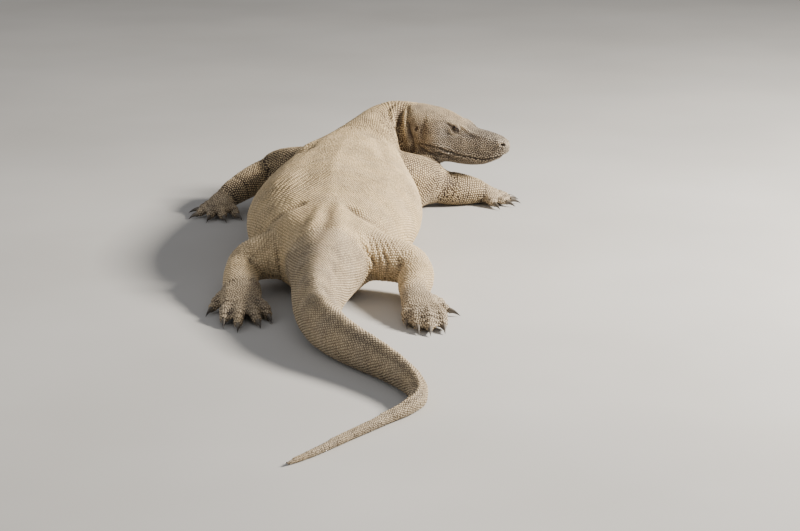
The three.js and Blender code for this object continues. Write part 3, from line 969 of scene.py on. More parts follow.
@dataclass
class Tones:
    """The markings of skin and coat alike, with the shade and light painted into them, from 0 to 1,
    for every point of the skin.
    """

    NAMES = ("pale", "warm", "gap")

    surface: Surface
    pale: np.ndarray = field(init=False)
    warm: np.ndarray = field(init=False)
    gap: np.ndarray = field(init=False)  # how dark the skin is between the scales, its own tone and painted shade

    def __post_init__(self) -> None:
        """Works the markings and the painted shade and light out."""
        surface = self.surface
        head = surface.spread(surface.is_in(Zone.HEAD), 6)
        neck = surface.spread(surface.is_in(Zone.NECK), 14)
        tail = surface.spread(surface.is_in(Zone.TAIL), 10)
        limbs = surface.spread(surface.is_in(*LIMBS), 8)
        arms = surface.spread(surface.is_in(Zone.ARM_LEFT, Zone.ARM_RIGHT), 8)
        feet = surface.spread(surface.is_in(Zone.FEET), 40)
        s, side, up = Head.local(surface.co)
        crown = head * smoothstep(6, 50, up) * smoothstep(210, 110, s)
        pale = 0.68 + 0.08 * ripple(surface.co, 0.20, 21, 3) + 0.06 * ripple(surface.co, 0.045, 22, 3)
        pale -= 0.05 * tail + 0.14 * tail * smoothstep(1.1, 1.8, surface.body_along)
        # painted light along the top edge of the tail
        pale += 0.16 * tail * hill(surface.body_angle, 0.22)
        # the head darker than the body, partly its own greyer tone and partly painted shade, and its
        # crown paler again, painted light on its top
        pale += 0.04 * limbs - 0.13 * arms - 0.15 * feet - 0.37 * head + 0.16 * crown
        warm = 0.95 - 0.30 * tail - 0.10 * limbs - 0.38 * feet
        warm -= head * (0.62 - 0.40 * np.maximum(crown, smoothstep(96, 50, s)))
        warm += 0.10 * ripple(surface.co, 0.10, 23, 2)
        over = up - Head.mouth_line(s)
        # painted shade along the groove of the mouth
        pale -= 0.45 * head * hill(over, 2.1) * smoothstep(28, 40, s)
        for mark in (*BACK_MARKS, *HEAD_MARKS):
            pale += mark.shade(surface)
        # painted light on the crest of the brow, and a paler rim of the lower lid
        pale += 0.24 * BROW.shape(surface) + 0.70 * LOWER_LID.shape(surface)
        pale -= 0.50 * EYE_SHADOW.shape(surface)
        # painted shade in the creases of the folds and wrinkles, and painted light on their ridges
        for forms, share in ((NECK_FOLDS, 0.022), (JAW_FOLDS, 0.07), (FOLD_FIELDS, 0.055)):
            for fold in forms:
                pale += share * fold.lift(surface)
        # painted shade inside the nostrils and the ear holes
        for centre, length, height, dark in ((Head.NOSTRIL, 6.0, 4.2, 0.7),
                                             (Head.EAR_HOLE, 3.6, 7.6, 0.5)):
            out = Head.off_centre(centre, s, up, length, height)
            near = head * (np.abs(np.abs(side) - centre[1]) < 14)
            pale -= dark * near * (1 - smoothstep(0.6, 1.2, out))
        # painted shade round the opening of the lids, where they meet the eyeball
        lids = head * (np.abs(side) > 28)
        pale -= 0.6 * lids * (1 - smoothstep(1.02, 1.22, Head.eye_opening(s, up)))
        # painted shade in the skin's creases and painted light on its crests
        pale += 0.30 * np.clip(self._ridges(), -1.2, 0.6)
        # painted shade on the skin low down by the floor, under the body
        pale -= 0.14 * smoothstep(0.05, 0.0, surface.co[:, 2])
        self.pale = np.clip(pale, 0.02, 0.98)
        self.warm = np.clip(warm, 0.0, 1.0)
        # The skin between the scales is darker: partly its own tone, partly painted shade in the
        # gaps, deeper on steep sides and on the head, the neck and the arms.
        side_on = 1 - smoothstep(0.45, 0.95, surface.normals()[:, 2])
        gap = 0.20 + 0.10 * side_on + 0.32 * head + 0.46 * neck + 0.10 * limbs + 0.66 * arms
        gap += 0.16 * tail + 0.16 * feet
        self.gap = np.clip(gap, 0.0, 1.0)

    def _ridges(self) -> np.ndarray:
        """Tells creases, below 0, from crests, above 0."""
        surface = self.surface
        soft = surface.spread(surface.co, 3)
        bend = ((surface.co - soft) * surface.normals()).sum(1) / MM
        return surface.spread(bend, 1) / 0.9


# ---- Finishes ---------------------------------------------------------------------------------

Colour = tuple[float, float, float]


class Graph:
    """Puts a material's nodes together."""

    def __init__(self, name: str) -> None:
        """Starts a material that holds its shader alone."""
        self.material = bpy.data.materials.new(name)
        self.material.use_nodes = True
        self.tree = self.material.node_tree
        self.shader = self.tree.nodes["Principled BSDF"]
        self.place = self.tree.nodes.new("ShaderNodeTexCoord").outputs["Object"]

    def _feed(self, socket: bpy.types.NodeSocket, value: object) -> None:
        """Links a socket to the input, or sets it."""
        if isinstance(value, bpy.types.NodeSocket):
            self.tree.links.new(value, socket)
        elif isinstance(value, tuple) and len(value) == 3:
            socket.default_value = (*value, 1.0)
        else:
            socket.default_value = value

    def attribute(self, name: str) -> bpy.types.NodeSocket:
        """Reads a number that the mesh stores."""
        node = self.tree.nodes.new("ShaderNodeAttribute")
        node.attribute_name = name
        return node.outputs["Fac"]

    def math(self, operation: str, *values: object) -> bpy.types.NodeSocket:
        """Works out one sum."""
        node = self.tree.nodes.new("ShaderNodeMath")
        node.operation = operation
        for socket, value in zip(node.inputs, values):
            self._feed(socket, value)
        return node.outputs[0]

    def noise(self, size_mm: float, detail: float = 3.0) -> bpy.types.NodeSocket:
        """Gives cloudy unevenness about 0.5, whose lumps are of the given size."""
        node = self.tree.nodes.new("ShaderNodeTexNoise")
        node.inputs["Scale"].default_value = 1000.0 / size_mm
        node.inputs["Detail"].default_value = detail
        self.tree.links.new(self.place, node.inputs["Vector"])
        return node.outputs["Fac"]

    def grains(self, size_mm: float) -> bpy.types.NodeSocket:
        """Gives the distance to the middle of the nearest grain, in grains."""
        node = self.tree.nodes.new("ShaderNodeTexVoronoi")
        node.inputs["Scale"].default_value = 1000.0 / size_mm
        self.tree.links.new(self.place, node.inputs["Vector"])
        return node.outputs["Distance"]

    def blend(self, share: object, first: object, second: object) -> bpy.types.NodeSocket:
        """Mixes two colours."""
        node = self.tree.nodes.new("ShaderNodeMix")
        node.data_type = "RGBA"
        self._feed(node.inputs[0], share)
        self._feed(node.inputs[6], first)
        self._feed(node.inputs[7], second)
        return node.outputs[2]

    def ranged(self, value: object, low: float, high: float, first: float = 0.0,
               second: float = 1.0) -> bpy.types.NodeSocket:
        """Stretches a value from one range to another, and holds it there."""
        node = self.tree.nodes.new("ShaderNodeMapRange")
        for socket, number in zip(node.inputs[:5], (value, low, high, first, second)):
            self._feed(socket, number)
        return node.outputs[0]

    def bump(self, height: object, depth_mm: float, strength: float) -> None:
        """Gives the shader fine relief, over any that it has."""
        node = self.tree.nodes.new("ShaderNodeBump")
        node.inputs["Strength"].default_value = strength
        node.inputs["Distance"].default_value = depth_mm * MM
        self._feed(node.inputs["Height"], height)
        if self.shader.inputs["Normal"].is_linked:
            self.tree.links.new(self.shader.inputs["Normal"].links[0].from_socket,
                                node.inputs["Normal"])
        self.tree.links.new(node.outputs["Normal"], self.shader.inputs["Normal"])

    def set(self, **sockets: object) -> None:
        """Feeds the shader's sockets, named with underscores."""
        for name, value in sockets.items():
            self._feed(self.shader.inputs[name.replace("_", " ")], value)


@dataclass(frozen=True)
class Palette:
    """The colours that the skin's tones run between."""

    dark_warm: Colour = (0.065, 0.041, 0.023)
    pale_warm: Colour = (0.82, 0.62, 0.345)
    dark_grey: Colour = (0.036, 0.031, 0.027)
    pale_grey: Colour = (0.60, 0.525, 0.44)

    def colour(self, graph: Graph, pale: object) -> bpy.types.NodeSocket:
        """Makes the colour from how pale and how warm a place is."""
        warm = graph.blend(pale, self.dark_warm, self.pale_warm)
        grey = graph.blend(pale, self.dark_grey, self.pale_grey)
        return graph.blend(graph.attribute("warm"), grey, warm)


@dataclass(frozen=True)
class HideFinish:
    """Dry skin between the scales: darker, partly its own tone and partly painted shade, with a fine
    grain.
    """

    palette: Palette = Palette()
    darker: float = 0.10
    darkest: float = 0.62  # where the gaps are at their darkest

    def material(self) -> bpy.types.Material:
        """Makes the material."""
        graph = Graph("hide")
        clouds = graph.ranged(graph.noise(28, 4), 0.3, 0.7, -0.08, 0.08)
        grain = graph.grains(2.2)
        # the skin in the gaps between the scales darkened: its own tone and painted shade
        shade = graph.ranged(graph.attribute("gap"), 0.0, 1.0, self.darker, self.darkest)
        pale = graph.math("ADD", graph.attribute("pale"), clouds)
        pale = graph.math("SUBTRACT", pale, shade)
        pale = graph.math("SUBTRACT", pale, graph.ranged(grain, 0.2, 0.8, -0.08, 0.10))
        graph.set(Base_Color=self.palette.colour(graph, pale), Roughness=0.78)
        graph.bump(graph.math("SUBTRACT", 1.0, grain), 0.45, 0.55)
        return graph.material


@dataclass(frozen=True)
class ScaleFinish:
    """Horny scales: each a little paler or darker than the next, with painted shade darkening it to
    its root and wear and a painted highlight paling its crest.
    """

    palette: Palette = Palette()
    variety: float = 0.20
    # the next two set how far each scale darkens to its foot, painted shade, and pales at its crest,
    # wear and painted highlight
    worn: float = 0.16
    rooted: float = 0.60

    def material(self) -> bpy.types.Material:
        """Makes the material."""
        graph = Graph("scales")
        own = graph.ranged(graph.attribute("tint"), 0.0, 1.0, -self.variety / 2, self.variety / 2)
        # painted shade darkens each scale towards its foot, down between the scales; wear and painted
        # highlight pale its crest
        depth = graph.math("MULTIPLY_ADD", graph.attribute("gap"), self.rooted, self.worn)
        worn = graph.math("MULTIPLY", depth, graph.ranged(graph.attribute("rise"), 0.25, 0.95,
                                                          -1.0, 0.30))
        clouds = graph.ranged(graph.noise(28, 4), 0.3, 0.7, -0.08, 0.08)
        dust = graph.ranged(graph.noise(1.6, 2), 0.35, 0.65, -0.05, 0.05)
        pale = graph.attribute("pale")
        for part in (own, worn, clouds, dust):
            pale = graph.math("ADD", pale, part)
        rough = graph.ranged(graph.attribute("tint"), 0.0, 1.0, 0.46, 0.68)
        graph.set(Base_Color=self.palette.colour(graph, pale), Roughness=rough)
        graph.bump(graph.noise(0.9, 2), 0.15, 0.4)
        return graph.material


@dataclass(frozen=True)
class EyeFinish:
    """A wet dark eye: a round pupil, a brown iris with a pale rim, and a dark surround."""

    pupil: Colour = (0.004, 0.003, 0.003)
    iris: Colour = (0.036, 0.018, 0.009)
    rim: Colour = (0.055, 0.030, 0.014)
    surround: Colour = (0.018, 0.014, 0.012)

    def material(self) -> bpy.types.Material:
        """Makes the material."""
        graph = Graph("eye")
        out = graph.attribute("off_gaze")
        streaks = graph.ranged(graph.noise(0.8, 3), 0.35, 0.65, 0.0, 0.6)
        iris = graph.blend(streaks, self.iris, self.rim)
        colour = graph.blend(graph.ranged(out, 0.19, 0.23), self.pupil, iris)
        colour = graph.blend(graph.ranged(out, 0.50, 0.54), colour, self.rim)
        colour = graph.blend(graph.ranged(out, 0.56, 0.62), colour, self.surround)
        graph.set(Base_Color=colour, Roughness=0.12)
        graph.shader.inputs["Coat Weight"].default_value = 0.5
        graph.shader.inputs["Coat Roughness"].default_value = 0.03
        return graph.material


@dataclass(frozen=True)
class ClawFinish:
    """Dark horn, streaked along its length and paler at the root."""

    root: Colour = (0.155, 0.130, 0.100)
    tip: Colour = (0.048, 0.041, 0.035)

    def material(self) -> bpy.types.Material:
        """Makes the material."""
        graph = Graph("claw")
        along = graph.attribute("along")
        uneven = graph.ranged(graph.noise(2.4, 4), 0.3, 0.7, -0.22, 0.22)
        share = graph.ranged(graph.math("ADD", along, uneven), 0.05, 0.75)
        graph.set(Base_Color=graph.blend(share, self.root, self.tip),
                  Roughness=graph.ranged(graph.noise(3, 3), 0.3, 0.7, 0.34, 0.55))
        graph.bump(graph.noise(0.7, 3), 0.2, 0.35)
        return graph.material


# ---- The coat of scales -----------------------------------------------------------------------


@dataclass(frozen=True)
class ScaleKind:
    """The size and shape of one zone's scales. All but the pitch are shares of the pitch."""

    pitch: float  # millimetres from one scale to the next
    length: float = 1.02
    width: float = 0.98
    height: float = 0.23
    crest: float = 0.66  # how wide the top ring is
    lean: float = 0.06  # how far the crest is drawn back
    in_rows: bool = True


KINDS = {
    Zone.HEAD: ScaleKind(4.3, 1.16, 1.12, height=0.16, crest=0.80, in_rows=False),
    Zone.NECK: ScaleKind(6.0, length=1.06, width=1.03, height=0.26, crest=0.66),
    Zone.TRUNK: ScaleKind(6.6, length=1.12, width=1.0, height=0.21, crest=0.70),
    Zone.TAIL: ScaleKind(6.2, length=1.22, width=0.98, height=0.22, crest=0.62, lean=0.14),
    **dict.fromkeys((Zone.ARM_LEFT, Zone.ARM_RIGHT),
                    ScaleKind(6.5, length=1.04, width=1.00, height=0.29, crest=0.60)),
    **dict.fromkeys((Zone.LEG_LEFT, Zone.LEG_RIGHT),
                    ScaleKind(6.1, length=1.06, width=1.02, height=0.24, crest=0.68)),
    Zone.FEET: ScaleKind(4.9, 1.12, 1.08, height=0.17, crest=0.78, in_rows=False),
}


class Bead:
    """One scale as arrays: a closed bead with a six-sided foot, a narrower ring and a crest."""

    SIDES = 6
    FOOT = -0.45  # the foot lies this share of the height below the skin

    def __init__(self) -> None:
        """Makes the bead a unit across and a unit high."""
        bm = bmesh.new()
        bmesh.ops.create_cone(bm, cap_ends=True, segments=self.SIDES, radius1=0.5, radius2=0.5,
                              depth=1.0)
        top = max(bm.faces, key=lambda f: f.calc_center_median().z)
        bmesh.ops.poke(bm, faces=[top])
        bmesh.ops.recalc_face_normals(bm, faces=bm.faces)
        bm.verts.ensure_lookup_table()
        flat = np.array([v.co for v in bm.verts])
        self.is_foot = flat[:, 2] < 0
        self.is_crest = np.hypot(flat[:, 0], flat[:, 1]) < 0.1
        self.is_ring = ~self.is_foot & ~self.is_crest
        self.plan = flat[:, :2]
        self.level = np.where(self.is_foot, self.FOOT, np.where(self.is_crest, 1.0, 0.78))
        self.rise = np.where(self.is_foot, 0.0, np.where(self.is_crest, 1.0, 0.7))
        self.loops = np.array([v.index for f in bm.faces for v in f.verts])
        self.starts = np.cumsum([0, *(len(f.verts) for f in bm.faces)])[:-1]
        bm.free()


@dataclass
class Roots:
    """The places that scales grow from."""

    at: np.ndarray
    pitch: np.ndarray  # metres
    zone: np.ndarray

    def __add__(self, other: "Roots") -> "Roots":
        """Joins two sets."""
        return Roots(np.vstack([self.at, other.at]), np.concatenate([self.pitch, other.pitch]),
                     np.concatenate([self.zone, other.zone]))

    def only(self, chosen: np.ndarray) -> "Roots":
        """Keeps the chosen ones."""
        return Roots(self.at[chosen], self.pitch[chosen], self.zone[chosen])


class Crowd:
    """Keeps scales from growing into each other, on a grid of small cells."""

    CELL = 0.009

    def __init__(self) -> None:
        """Starts empty."""
        self.cells: dict[tuple[int, int, int], list[tuple[float, float, float, float]]] = {}

    def try_add(self, x: float, y: float, z: float, room: float) -> bool:
        """Takes a place in if nothing lies nearer than the room it needs.

        Args:
            x: The place.
            y: The place.
            z: The place.
            room: The distance it needs, in metres, at most one cell.

        Returns:
            Whether it was taken in.
        """
        i, j, k = int(x // self.CELL), int(y // self.CELL), int(z // self.CELL)
        for a in (i - 1, i, i + 1):
            for b in (j - 1, j, j + 1):
                for c in (k - 1, k, k + 1):
                    for px, py, pz, their_room in self.cells.get((a, b, c), ()):
                        need = 0.5 * (room + their_room)
                        if (px - x) ** 2 + (py - y) ** 2 + (pz - z) ** 2 < need * need:
                            return False
        self.cells.setdefault((i, j, k), []).append((x, y, z, room))
        return True


class Layout:
    """Sets the scales out over the skin: in rows on body and limbs, scattered on head and feet."""

    ROW_SHARE = 0.87  # from row to row, as a share of the pitch
    ROOM_IN_ROWS = 0.74
    UNEVEN = 0.055  # how far a scale strays from its row, as a share of the pitch
    ROOM_SCATTERED = 0.86
    GAP = 0.014
    PER_SCALE = 11  # scattered places tried for each scale that fits

    def __init__(self, surface: Surface, atlas: Atlas) -> None:
        """Prepares the skin."""
        self.surface = surface
        self.atlas = atlas
        self.tree = BVHTree.FromPolygons(surface.co.tolist(), surface.tris.tolist())
        self.normal = surface.normals()
        self.rng = np.random.default_rng(SEED)

    def pitch_at(self, places: np.ndarray, zones: np.ndarray) -> np.ndarray:
        """Gives the pitch at each place, in metres.

        Args:
            places: The places, in metres.
            zones: The number of each place's zone.

        Returns:
            The pitch: larger on lips, snout and belly, finer by the eyes and at the tail's end.
        """
        pitch = np.array([KINDS[z].pitch for z in ZONES])[zones] * MM
        s, side, up = Head.local(places)
        head = zones == ZONES.index(Zone.HEAD)
        over = np.abs(up - Head.mouth_line(s))
        lips = hill(over - 6.0, 4.0) * smoothstep(60, 110, s)
        eye = hill(Head.off_centre(Head.EYE, s, up), 17) * (np.abs(side) > 26)
        snout = smoothstep(130, 200, s) * smoothstep(0, 15, up)
        pitch = np.where(head, pitch * (1 + 0.35 * lips - 0.30 * eye + 0.12 * snout), pitch)
        body = np.isin(zones, [ZONES.index(Zone.TRUNK), ZONES.index(Zone.NECK)])
        belly = body * smoothstep(0.035, 0.012, places[:, 2])
        pitch *= 1 + 0.30 * belly
        tail = zones == ZONES.index(Zone.TAIL)
        if tail.any():
            pitch[tail] *= self.taper(Zone.TAIL, self.atlas.body.locate(places[tail])[0])
        return pitch

    @staticmethod
    def taper(zone: Zone, along: np.ndarray) -> np.ndarray:
        """Tells how much smaller the scales grow towards the tip of the tail."""
        return 1 - 0.45 * smoothstep(1.7, 2.4, along) * (zone is Zone.TAIL)

    def in_rows(self, zone: Zone) -> Roots:
        """Sets one zone's scales out in rows across it, each row half a scale off the last.

        Args:
            zone: The zone.

        Returns:
            The roots.
        """
        surface, number = self.surface, ZONES.index(zone)
        spacing = KINDS[zone].pitch * MM * self.ROW_SHARE
        mine = surface.zone == number
        edges = surface.edges[mine[surface.edges].all(1)]
        run = np.linspace(surface.along[mine].min(), surface.along[mine].max(), 600)
        counted = np.cumsum((run[1] - run[0]) / (spacing * self.taper(zone, run)))
        ends = np.interp(surface.along[edges], run, counted)
        first, last = np.ceil(ends.min(1)), np.floor(ends.max(1))
        places, rows = [], []
        for step in range(4):
            row = first + step
            crossed = (row <= last) & (np.abs(ends[:, 1] - ends[:, 0]) > 1e-9)
            share = (row - ends[:, 0])[crossed] / (ends[:, 1] - ends[:, 0])[crossed]
            a, b = surface.co[edges[crossed, 0]], surface.co[edges[crossed, 1]]
            places.append(a + share[:, None] * (b - a))
            rows.append(row[crossed])
        places, rows = np.vstack(places), np.concatenate(rows).astype(int)
        along, angle = self.atlas.axis(zone).locate(places)
        pitch = KINDS[zone].pitch * MM * self.taper(zone, along)
        order = np.lexsort((angle, rows))
        bounds = np.flatnonzero(np.diff(rows[order])) + 1
        found = [self._along_row(places[o], angle[o], int(rows[o[0]]), float(pitch[o].mean()))
                 for o in np.split(order, bounds) if len(o) > 3]
        at = np.vstack(found)
        at += self.rng.normal(0.0, self.UNEVEN * KINDS[zone].pitch * MM, at.shape)
        zones = np.full(len(at), number)
        return Roots(at, self.pitch_at(at, zones), zones)

    def _along_row(self, places: np.ndarray, angle: np.ndarray, row: int,
                   pitch: float) -> np.ndarray:
        """Spaces one row's scales out evenly from the top of the body down both sides."""
        step = np.linalg.norm(np.diff(places, axis=0), axis=1)
        run = np.concatenate([[0.0], np.cumsum(step)])
        run -= np.interp(0.0, angle, run)
        offset = 0.5 * (row % 2)
        marks = (np.arange(math.ceil(run[0] / pitch - offset),
                           math.floor(run[-1] / pitch - offset) + 1) + offset) * pitch
        after = np.clip(np.searchsorted(run, marks), 1, len(run) - 1)
        marks = marks[step[after - 1] < self.GAP]
        return np.stack([np.interp(marks, run, places[:, k]) for k in range(3)], 1)

    def scattered(self, zones: tuple[Zone, ...], crowd: Crowd, room: float) -> Roots:
        """Scatters scales over zones wherever there is room.

        Args:
            zones: The zones.
            crowd: The scales that are there already.
            room: The room each needs, as a share of its pitch.

        Returns:
            The roots.
        """
        surface = self.surface
        numbers = [ZONES.index(z) for z in zones]
        tri_zone = surface.zone[surface.tris[:, 0]]
        tris = surface.tris[np.isin(tri_zone, numbers)]
        a, b, c = (surface.co[tris[:, k]] for k in range(3))
        area = 0.5 * np.linalg.norm(np.cross(b - a, c - a), axis=1)
        pitch = self.pitch_at(a, surface.zone[tris[:, 0]])
        weight = area / pitch**2
        count = int(self.PER_SCALE * weight.sum())
        chosen = self.rng.choice(len(tris), count, p=weight / weight.sum())
        u, v = self.rng.random((2, count))
        over = u + v > 1
        u, v = np.where(over, 1 - u, u)[:, None], np.where(over, 1 - v, v)[:, None]
        at = a[chosen] + u * (b - a)[chosen] + v * (c - a)[chosen]
        zone = surface.zone[tris[chosen, 0]]
        pitch = self.pitch_at(at, zone)
        kept = [crowd.try_add(*p, r) for p, r in zip(at.tolist(), (pitch * room).tolist())]
        return Roots(at, pitch, zone).only(np.array(kept, bool))

    def relaxed(self, roots: Roots, rounds: int) -> Roots:
        """Evens out scattered scales by letting neighbours push each other apart.

        Args:
            roots: The scattered roots.
            rounds: How many times they push.

        Returns:
            The roots, back on the skin.
        """
        at = roots.at.copy()
        for _ in range(rounds):
            tree = KDTree(len(at))
            for index, place in enumerate(at):
                tree.insert(place, index)
            tree.balance()
            moved = at.copy()
            for index, place in enumerate(at):
                reach = 1.35 * roots.pitch[index]
                push = np.zeros(3)
                for other, _, distance in tree.find_range(Vector(place), reach):
                    if distance > 1e-7:
                        push += (place - np.array(other)) / distance * (1 - distance / reach)
                moved[index] = place + 0.30 * roots.pitch[index] * push
            at = np.array([self.tree.find_nearest(Vector(p))[0] for p in moved])
        return Roots(at, roots.pitch, roots.zone)

    def everywhere(self) -> Roots:
        """Sets the whole coat out.

        Returns:
            The roots, none inside an eye, a nostril, an ear or the mouth.
        """
        crowd = Crowd()
        scattered = self.scattered((Zone.HEAD, Zone.FEET), Crowd(), self.ROOM_SCATTERED)
        scattered = self.relaxed(scattered, 4)
        for place, pitch in zip(scattered.at.tolist(), scattered.pitch.tolist()):
            crowd.try_add(*place, pitch * 0.5)
        roots = scattered
        for zone in (Zone.TRUNK, Zone.NECK, Zone.TAIL, *LIMBS):
            row = self.in_rows(zone)
            room = (row.pitch * self.ROOM_IN_ROWS).tolist()
            kept = [crowd.try_add(*p, r) for p, r in zip(row.at.tolist(), room)]
            roots = roots + row.only(np.array(kept, bool))
        fill = self.scattered((Zone.TRUNK, Zone.NECK, Zone.TAIL, *LIMBS), crowd, 0.92)
        return self._outside_openings(roots + fill)

    def _outside_openings(self, roots: Roots) -> Roots:
        """Leaves out what would grow in an eye, in a nostril, in an ear or between the lips."""
        s, side, up = Head.local(roots.at)
        head = np.isin(roots.zone, [ZONES.index(Zone.HEAD), ZONES.index(Zone.NECK)])
        eye = Head.eye_opening(s, up) < 1.18
        nostril = Head.off_centre(Head.NOSTRIL, s, up, 5.4, 3.6) < 1
        ear = Head.off_centre(Head.EAR_HOLE, s, up, 3.6, 7.6) < 1
        mouth = (np.abs(up - Head.mouth_line(s)) < 1.6) & (s > 38)
        inside = (eye & (np.abs(side) > 28)) | (nostril & (np.abs(side) > 12))
        return roots.only(~(head & (inside | ear & (np.abs(side) > 45) | mouth)))


@dataclass
class Coat:
    """The scales, joined into a few meshes."""

    surface: Surface
    atlas: Atlas
    layout: Layout
    tones: Tones
    most_per_piece: int = 8600
    patch: float = 0.0015

    SLOTS = {Zone.HEAD: "head_skin", Zone.TAIL: "tail_skin", Zone.FEET: "foot_skin"}  # else skin

    def build(self, finish: ScaleFinish) -> None:
        """Grows the scales and joins them, zone by zone.

        Args:
            finish: The scales' finish.
        """
        material = finish.material()
        roots = self.layout.everywhere()
        bead = Bead()
        for index, zone in enumerate(ZONES):
            own = roots.only(roots.zone == index)
            chart = self._chart(own)
            parts = math.ceil(len(own.at) / self.most_per_piece)
            order = np.argsort(chart[:, 0], kind="stable")
            for number, chosen in enumerate(np.array_split(order, parts), 1):
                label = f"coat_{zone.value}" + (f"_{number}" if parts > 1 else "")
                piece = self._piece(label, own.only(chosen), chart[chosen], bead)
                piece.data.materials.append(material)
                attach(piece, ROOT)
                log.info("%s: %d scales", label, len(chosen))

    def _chart(self, roots: Roots) -> np.ndarray:
        """Unrolls the skin under the roots: along the body or limb, and round it."""
        at = roots.at
        zone = ZONES[int(roots.zone[0])]
        if zone is Zone.HEAD:
            s, side, up = Head.local(at)
            return np.stack([s, np.arctan2(side, up)], 1)
        if zone is Zone.FEET:
            left, front = at[:, 0] < 0.05, at[:, 1] > 0
            under = self.surface.pick(self.layout.tree, at)[1][:, 2] < 0
            column = 2.0 * front + left
            x = at[:, 0] - np.array([at[column == c, 0].mean() for c in range(4)])[column.astype(int)]
            return np.stack([x + 0.30 * column, at[:, 1] - 0.7 * front + 0.25 * under], 1)
        return np.stack(self.atlas.axis(zone).locate(at), 1)

    def _lie(self, roots: Roots, normal: np.ndarray) -> np.ndarray:
        """Gives each scale's forward direction in the skin, and how steeply its line leaves it."""
        ahead = np.zeros_like(roots.at)
        for number in np.unique(roots.zone):
            zone, mine = ZONES[number], roots.zone == number
            if zone is Zone.HEAD:
                ahead[mine] = np.array(Head.TURN @ Vector((-1, 0, 0)))
            elif zone is Zone.FEET:
                ends = np.array([axis.at[-1] for axis in self.atlas.axes.values()])
                away = roots.at[mine][:, None] - ends[None]
                nearest = np.linalg.norm(away, axis=2).argmin(1)
                ahead[mine] = unit(away[np.arange(mine.sum()), nearest] * (1, 1, 0))
            else:
                axis = self.atlas.axis(zone)
                along, _ = axis.locate(roots.at[mine])
                index = np.clip(np.searchsorted(axis.run, along), 0, len(axis.run) - 1)
                ahead[mine] = axis.ahead[index]
        return ahead - (ahead * normal).sum(1, keepdims=True) * normal

    def _piece(self, name: str, roots: Roots, chart: np.ndarray, bead: Bead) -> bpy.types.Object:
        """Joins the scales on the given roots into one mesh.

        Args:
            name: The piece's name.
            roots: Where its scales grow.
            chart: Each root's place on the unrolled skin.
            bead: One scale.

        Returns:
            The piece.
        """
        rng = np.random.default_rng(SEED + len(roots.at))
        count, corners = len(roots.at), len(bead.plan)
        at, normal, share, corner = self.surface.pick(self.layout.tree, roots.at)
        flat = self._lie(roots, normal)
        steep = np.linalg.norm(flat, axis=1)
        lie = unit(flat)
        across = np.cross(normal, lie)
        kinds = [KINDS[ZONES[z]] for z in roots.zone]
        length, width, height, crest, lean = (
            np.array([getattr(k, part) for k in kinds])
            for part in ("length", "width", "height", "crest", "lean"))
        size = roots.pitch * rng.normal(1.0, 0.05, count).clip(0.86, 1.14)
        length = length * np.clip(1 / np.maximum(steep, 0.5), 1.0, 1.45)
        turn = rng.normal(0.0, 0.12, count)
        ring = np.where(bead.is_ring, crest[:, None], np.where(bead.is_crest, 0.0, 1.0))
        uneven = 1 + 0.07 * rng.normal(size=(count, corners)).clip(-2, 2)
        px, py = bead.plan[:, 0] * ring * uneven, bead.plan[:, 1] * ring * uneven
        x = (px * np.cos(turn)[:, None] - py * np.sin(turn)[:, None]) * length[:, None]
        y = (px * np.sin(turn)[:, None] + py * np.cos(turn)[:, None]) * width[:, None]
        x = x + np.where(bead.is_foot, 0.0, 1.0) * lean[:, None]
        tall = height * size * rng.normal(1.0, 0.12, count).clip(0.7, 1.35)
        co = (at[:, None] + lie[:, None] * (x * size[:, None])[..., None]
              + across[:, None] * (y * size[:, None])[..., None]
              + normal[:, None] * (bead.level * tall[:, None])[..., None])
        co[..., 2] = np.maximum(co[..., 2], 0.0002)

        mesh = bpy.data.meshes.new(name)
        mesh.vertices.add(count * corners)
        mesh.vertices.foreach_set("co", co.astype(np.float32).ravel())
        loops = (bead.loops[None] + corners * np.arange(count)[:, None]).ravel()
        mesh.loops.add(len(loops))
        mesh.loops.foreach_set("vertex_index", loops.astype(np.int32))
        starts = (bead.starts[None] + len(bead.loops) * np.arange(count)[:, None]).ravel()
        mesh.polygons.add(len(starts))
        mesh.polygons.foreach_set("loop_start", starts.astype(np.int32))
        mesh.polygons.foreach_set("use_smooth", np.ones(len(starts), bool))
        mesh.update(calc_edges=True)

        low, high = chart.min(0), chart.max(0)
        root = 0.01 + 0.98 * (chart - low) / (high - low)
        patches = root[:, None] + bead.plan[None] * 2 * self.patch
        layer = mesh.uv_layers.new(name="OFBake")
        layer.data.foreach_set("uv", patches.reshape(-1, 2)[loops].astype(np.float32).ravel())

        for tone in Tones.NAMES:
            own = (getattr(self.tones, tone)[corner] * share).sum(1)
            put_attribute(mesh, tone, np.repeat(own, corners))
        put_attribute(mesh, "tint", np.repeat(rng.random(count), corners))
        put_attribute(mesh, "rise", np.tile(bead.rise, count))
        return place_in_scene(name, mesh)


# ---- Eyes and claws ---------------------------------------------------------------------------


@dataclass
class Eye:
    """One eyeball, looking out to its side and a little forward."""

    node: str
    side: int  # 1 for the right
    radius: float = Head.EYE_RADIUS
    cornea: float = 0.7
    obj: bpy.types.Object | None = field(default=None, init=False)

    def build(self) -> None:
        """Makes the ball, with its cornea, and marks how far each point lies off its gaze."""
        s, side, up = Head.EYE
        centre = Head.place(s, side * self.side, up)
        gaze = (Head.TURN @ Vector((0.34, -self.side, 0.10))).normalized()
        bm = bmesh.new()
        bmesh.ops.create_icosphere(bm, subdivisions=5, radius=self.radius * MM)
        off = []
        for vertex in bm.verts:
            angle = vertex.co.angle(gaze)
            off.append(angle)
            vertex.co += gaze * (self.cornea * MM * math.exp(-((angle / 0.5) ** 2)))
        bmesh.ops.translate(bm, verts=bm.verts, vec=centre)
        mesh = mesh_of(bm, self.node)
        shade_smooth(mesh)
        put_attribute(mesh, "off_gaze", np.array(off))
        self.obj = place_in_scene(f"eyeball_{self.node}", mesh)

    def dress(self, finish: EyeFinish) -> None:
        """Finishes the ball and lets it stand for its node."""
        self.obj.data.materials.append(finish.material())
        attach(self.obj, ROOT)
        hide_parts(self.node)


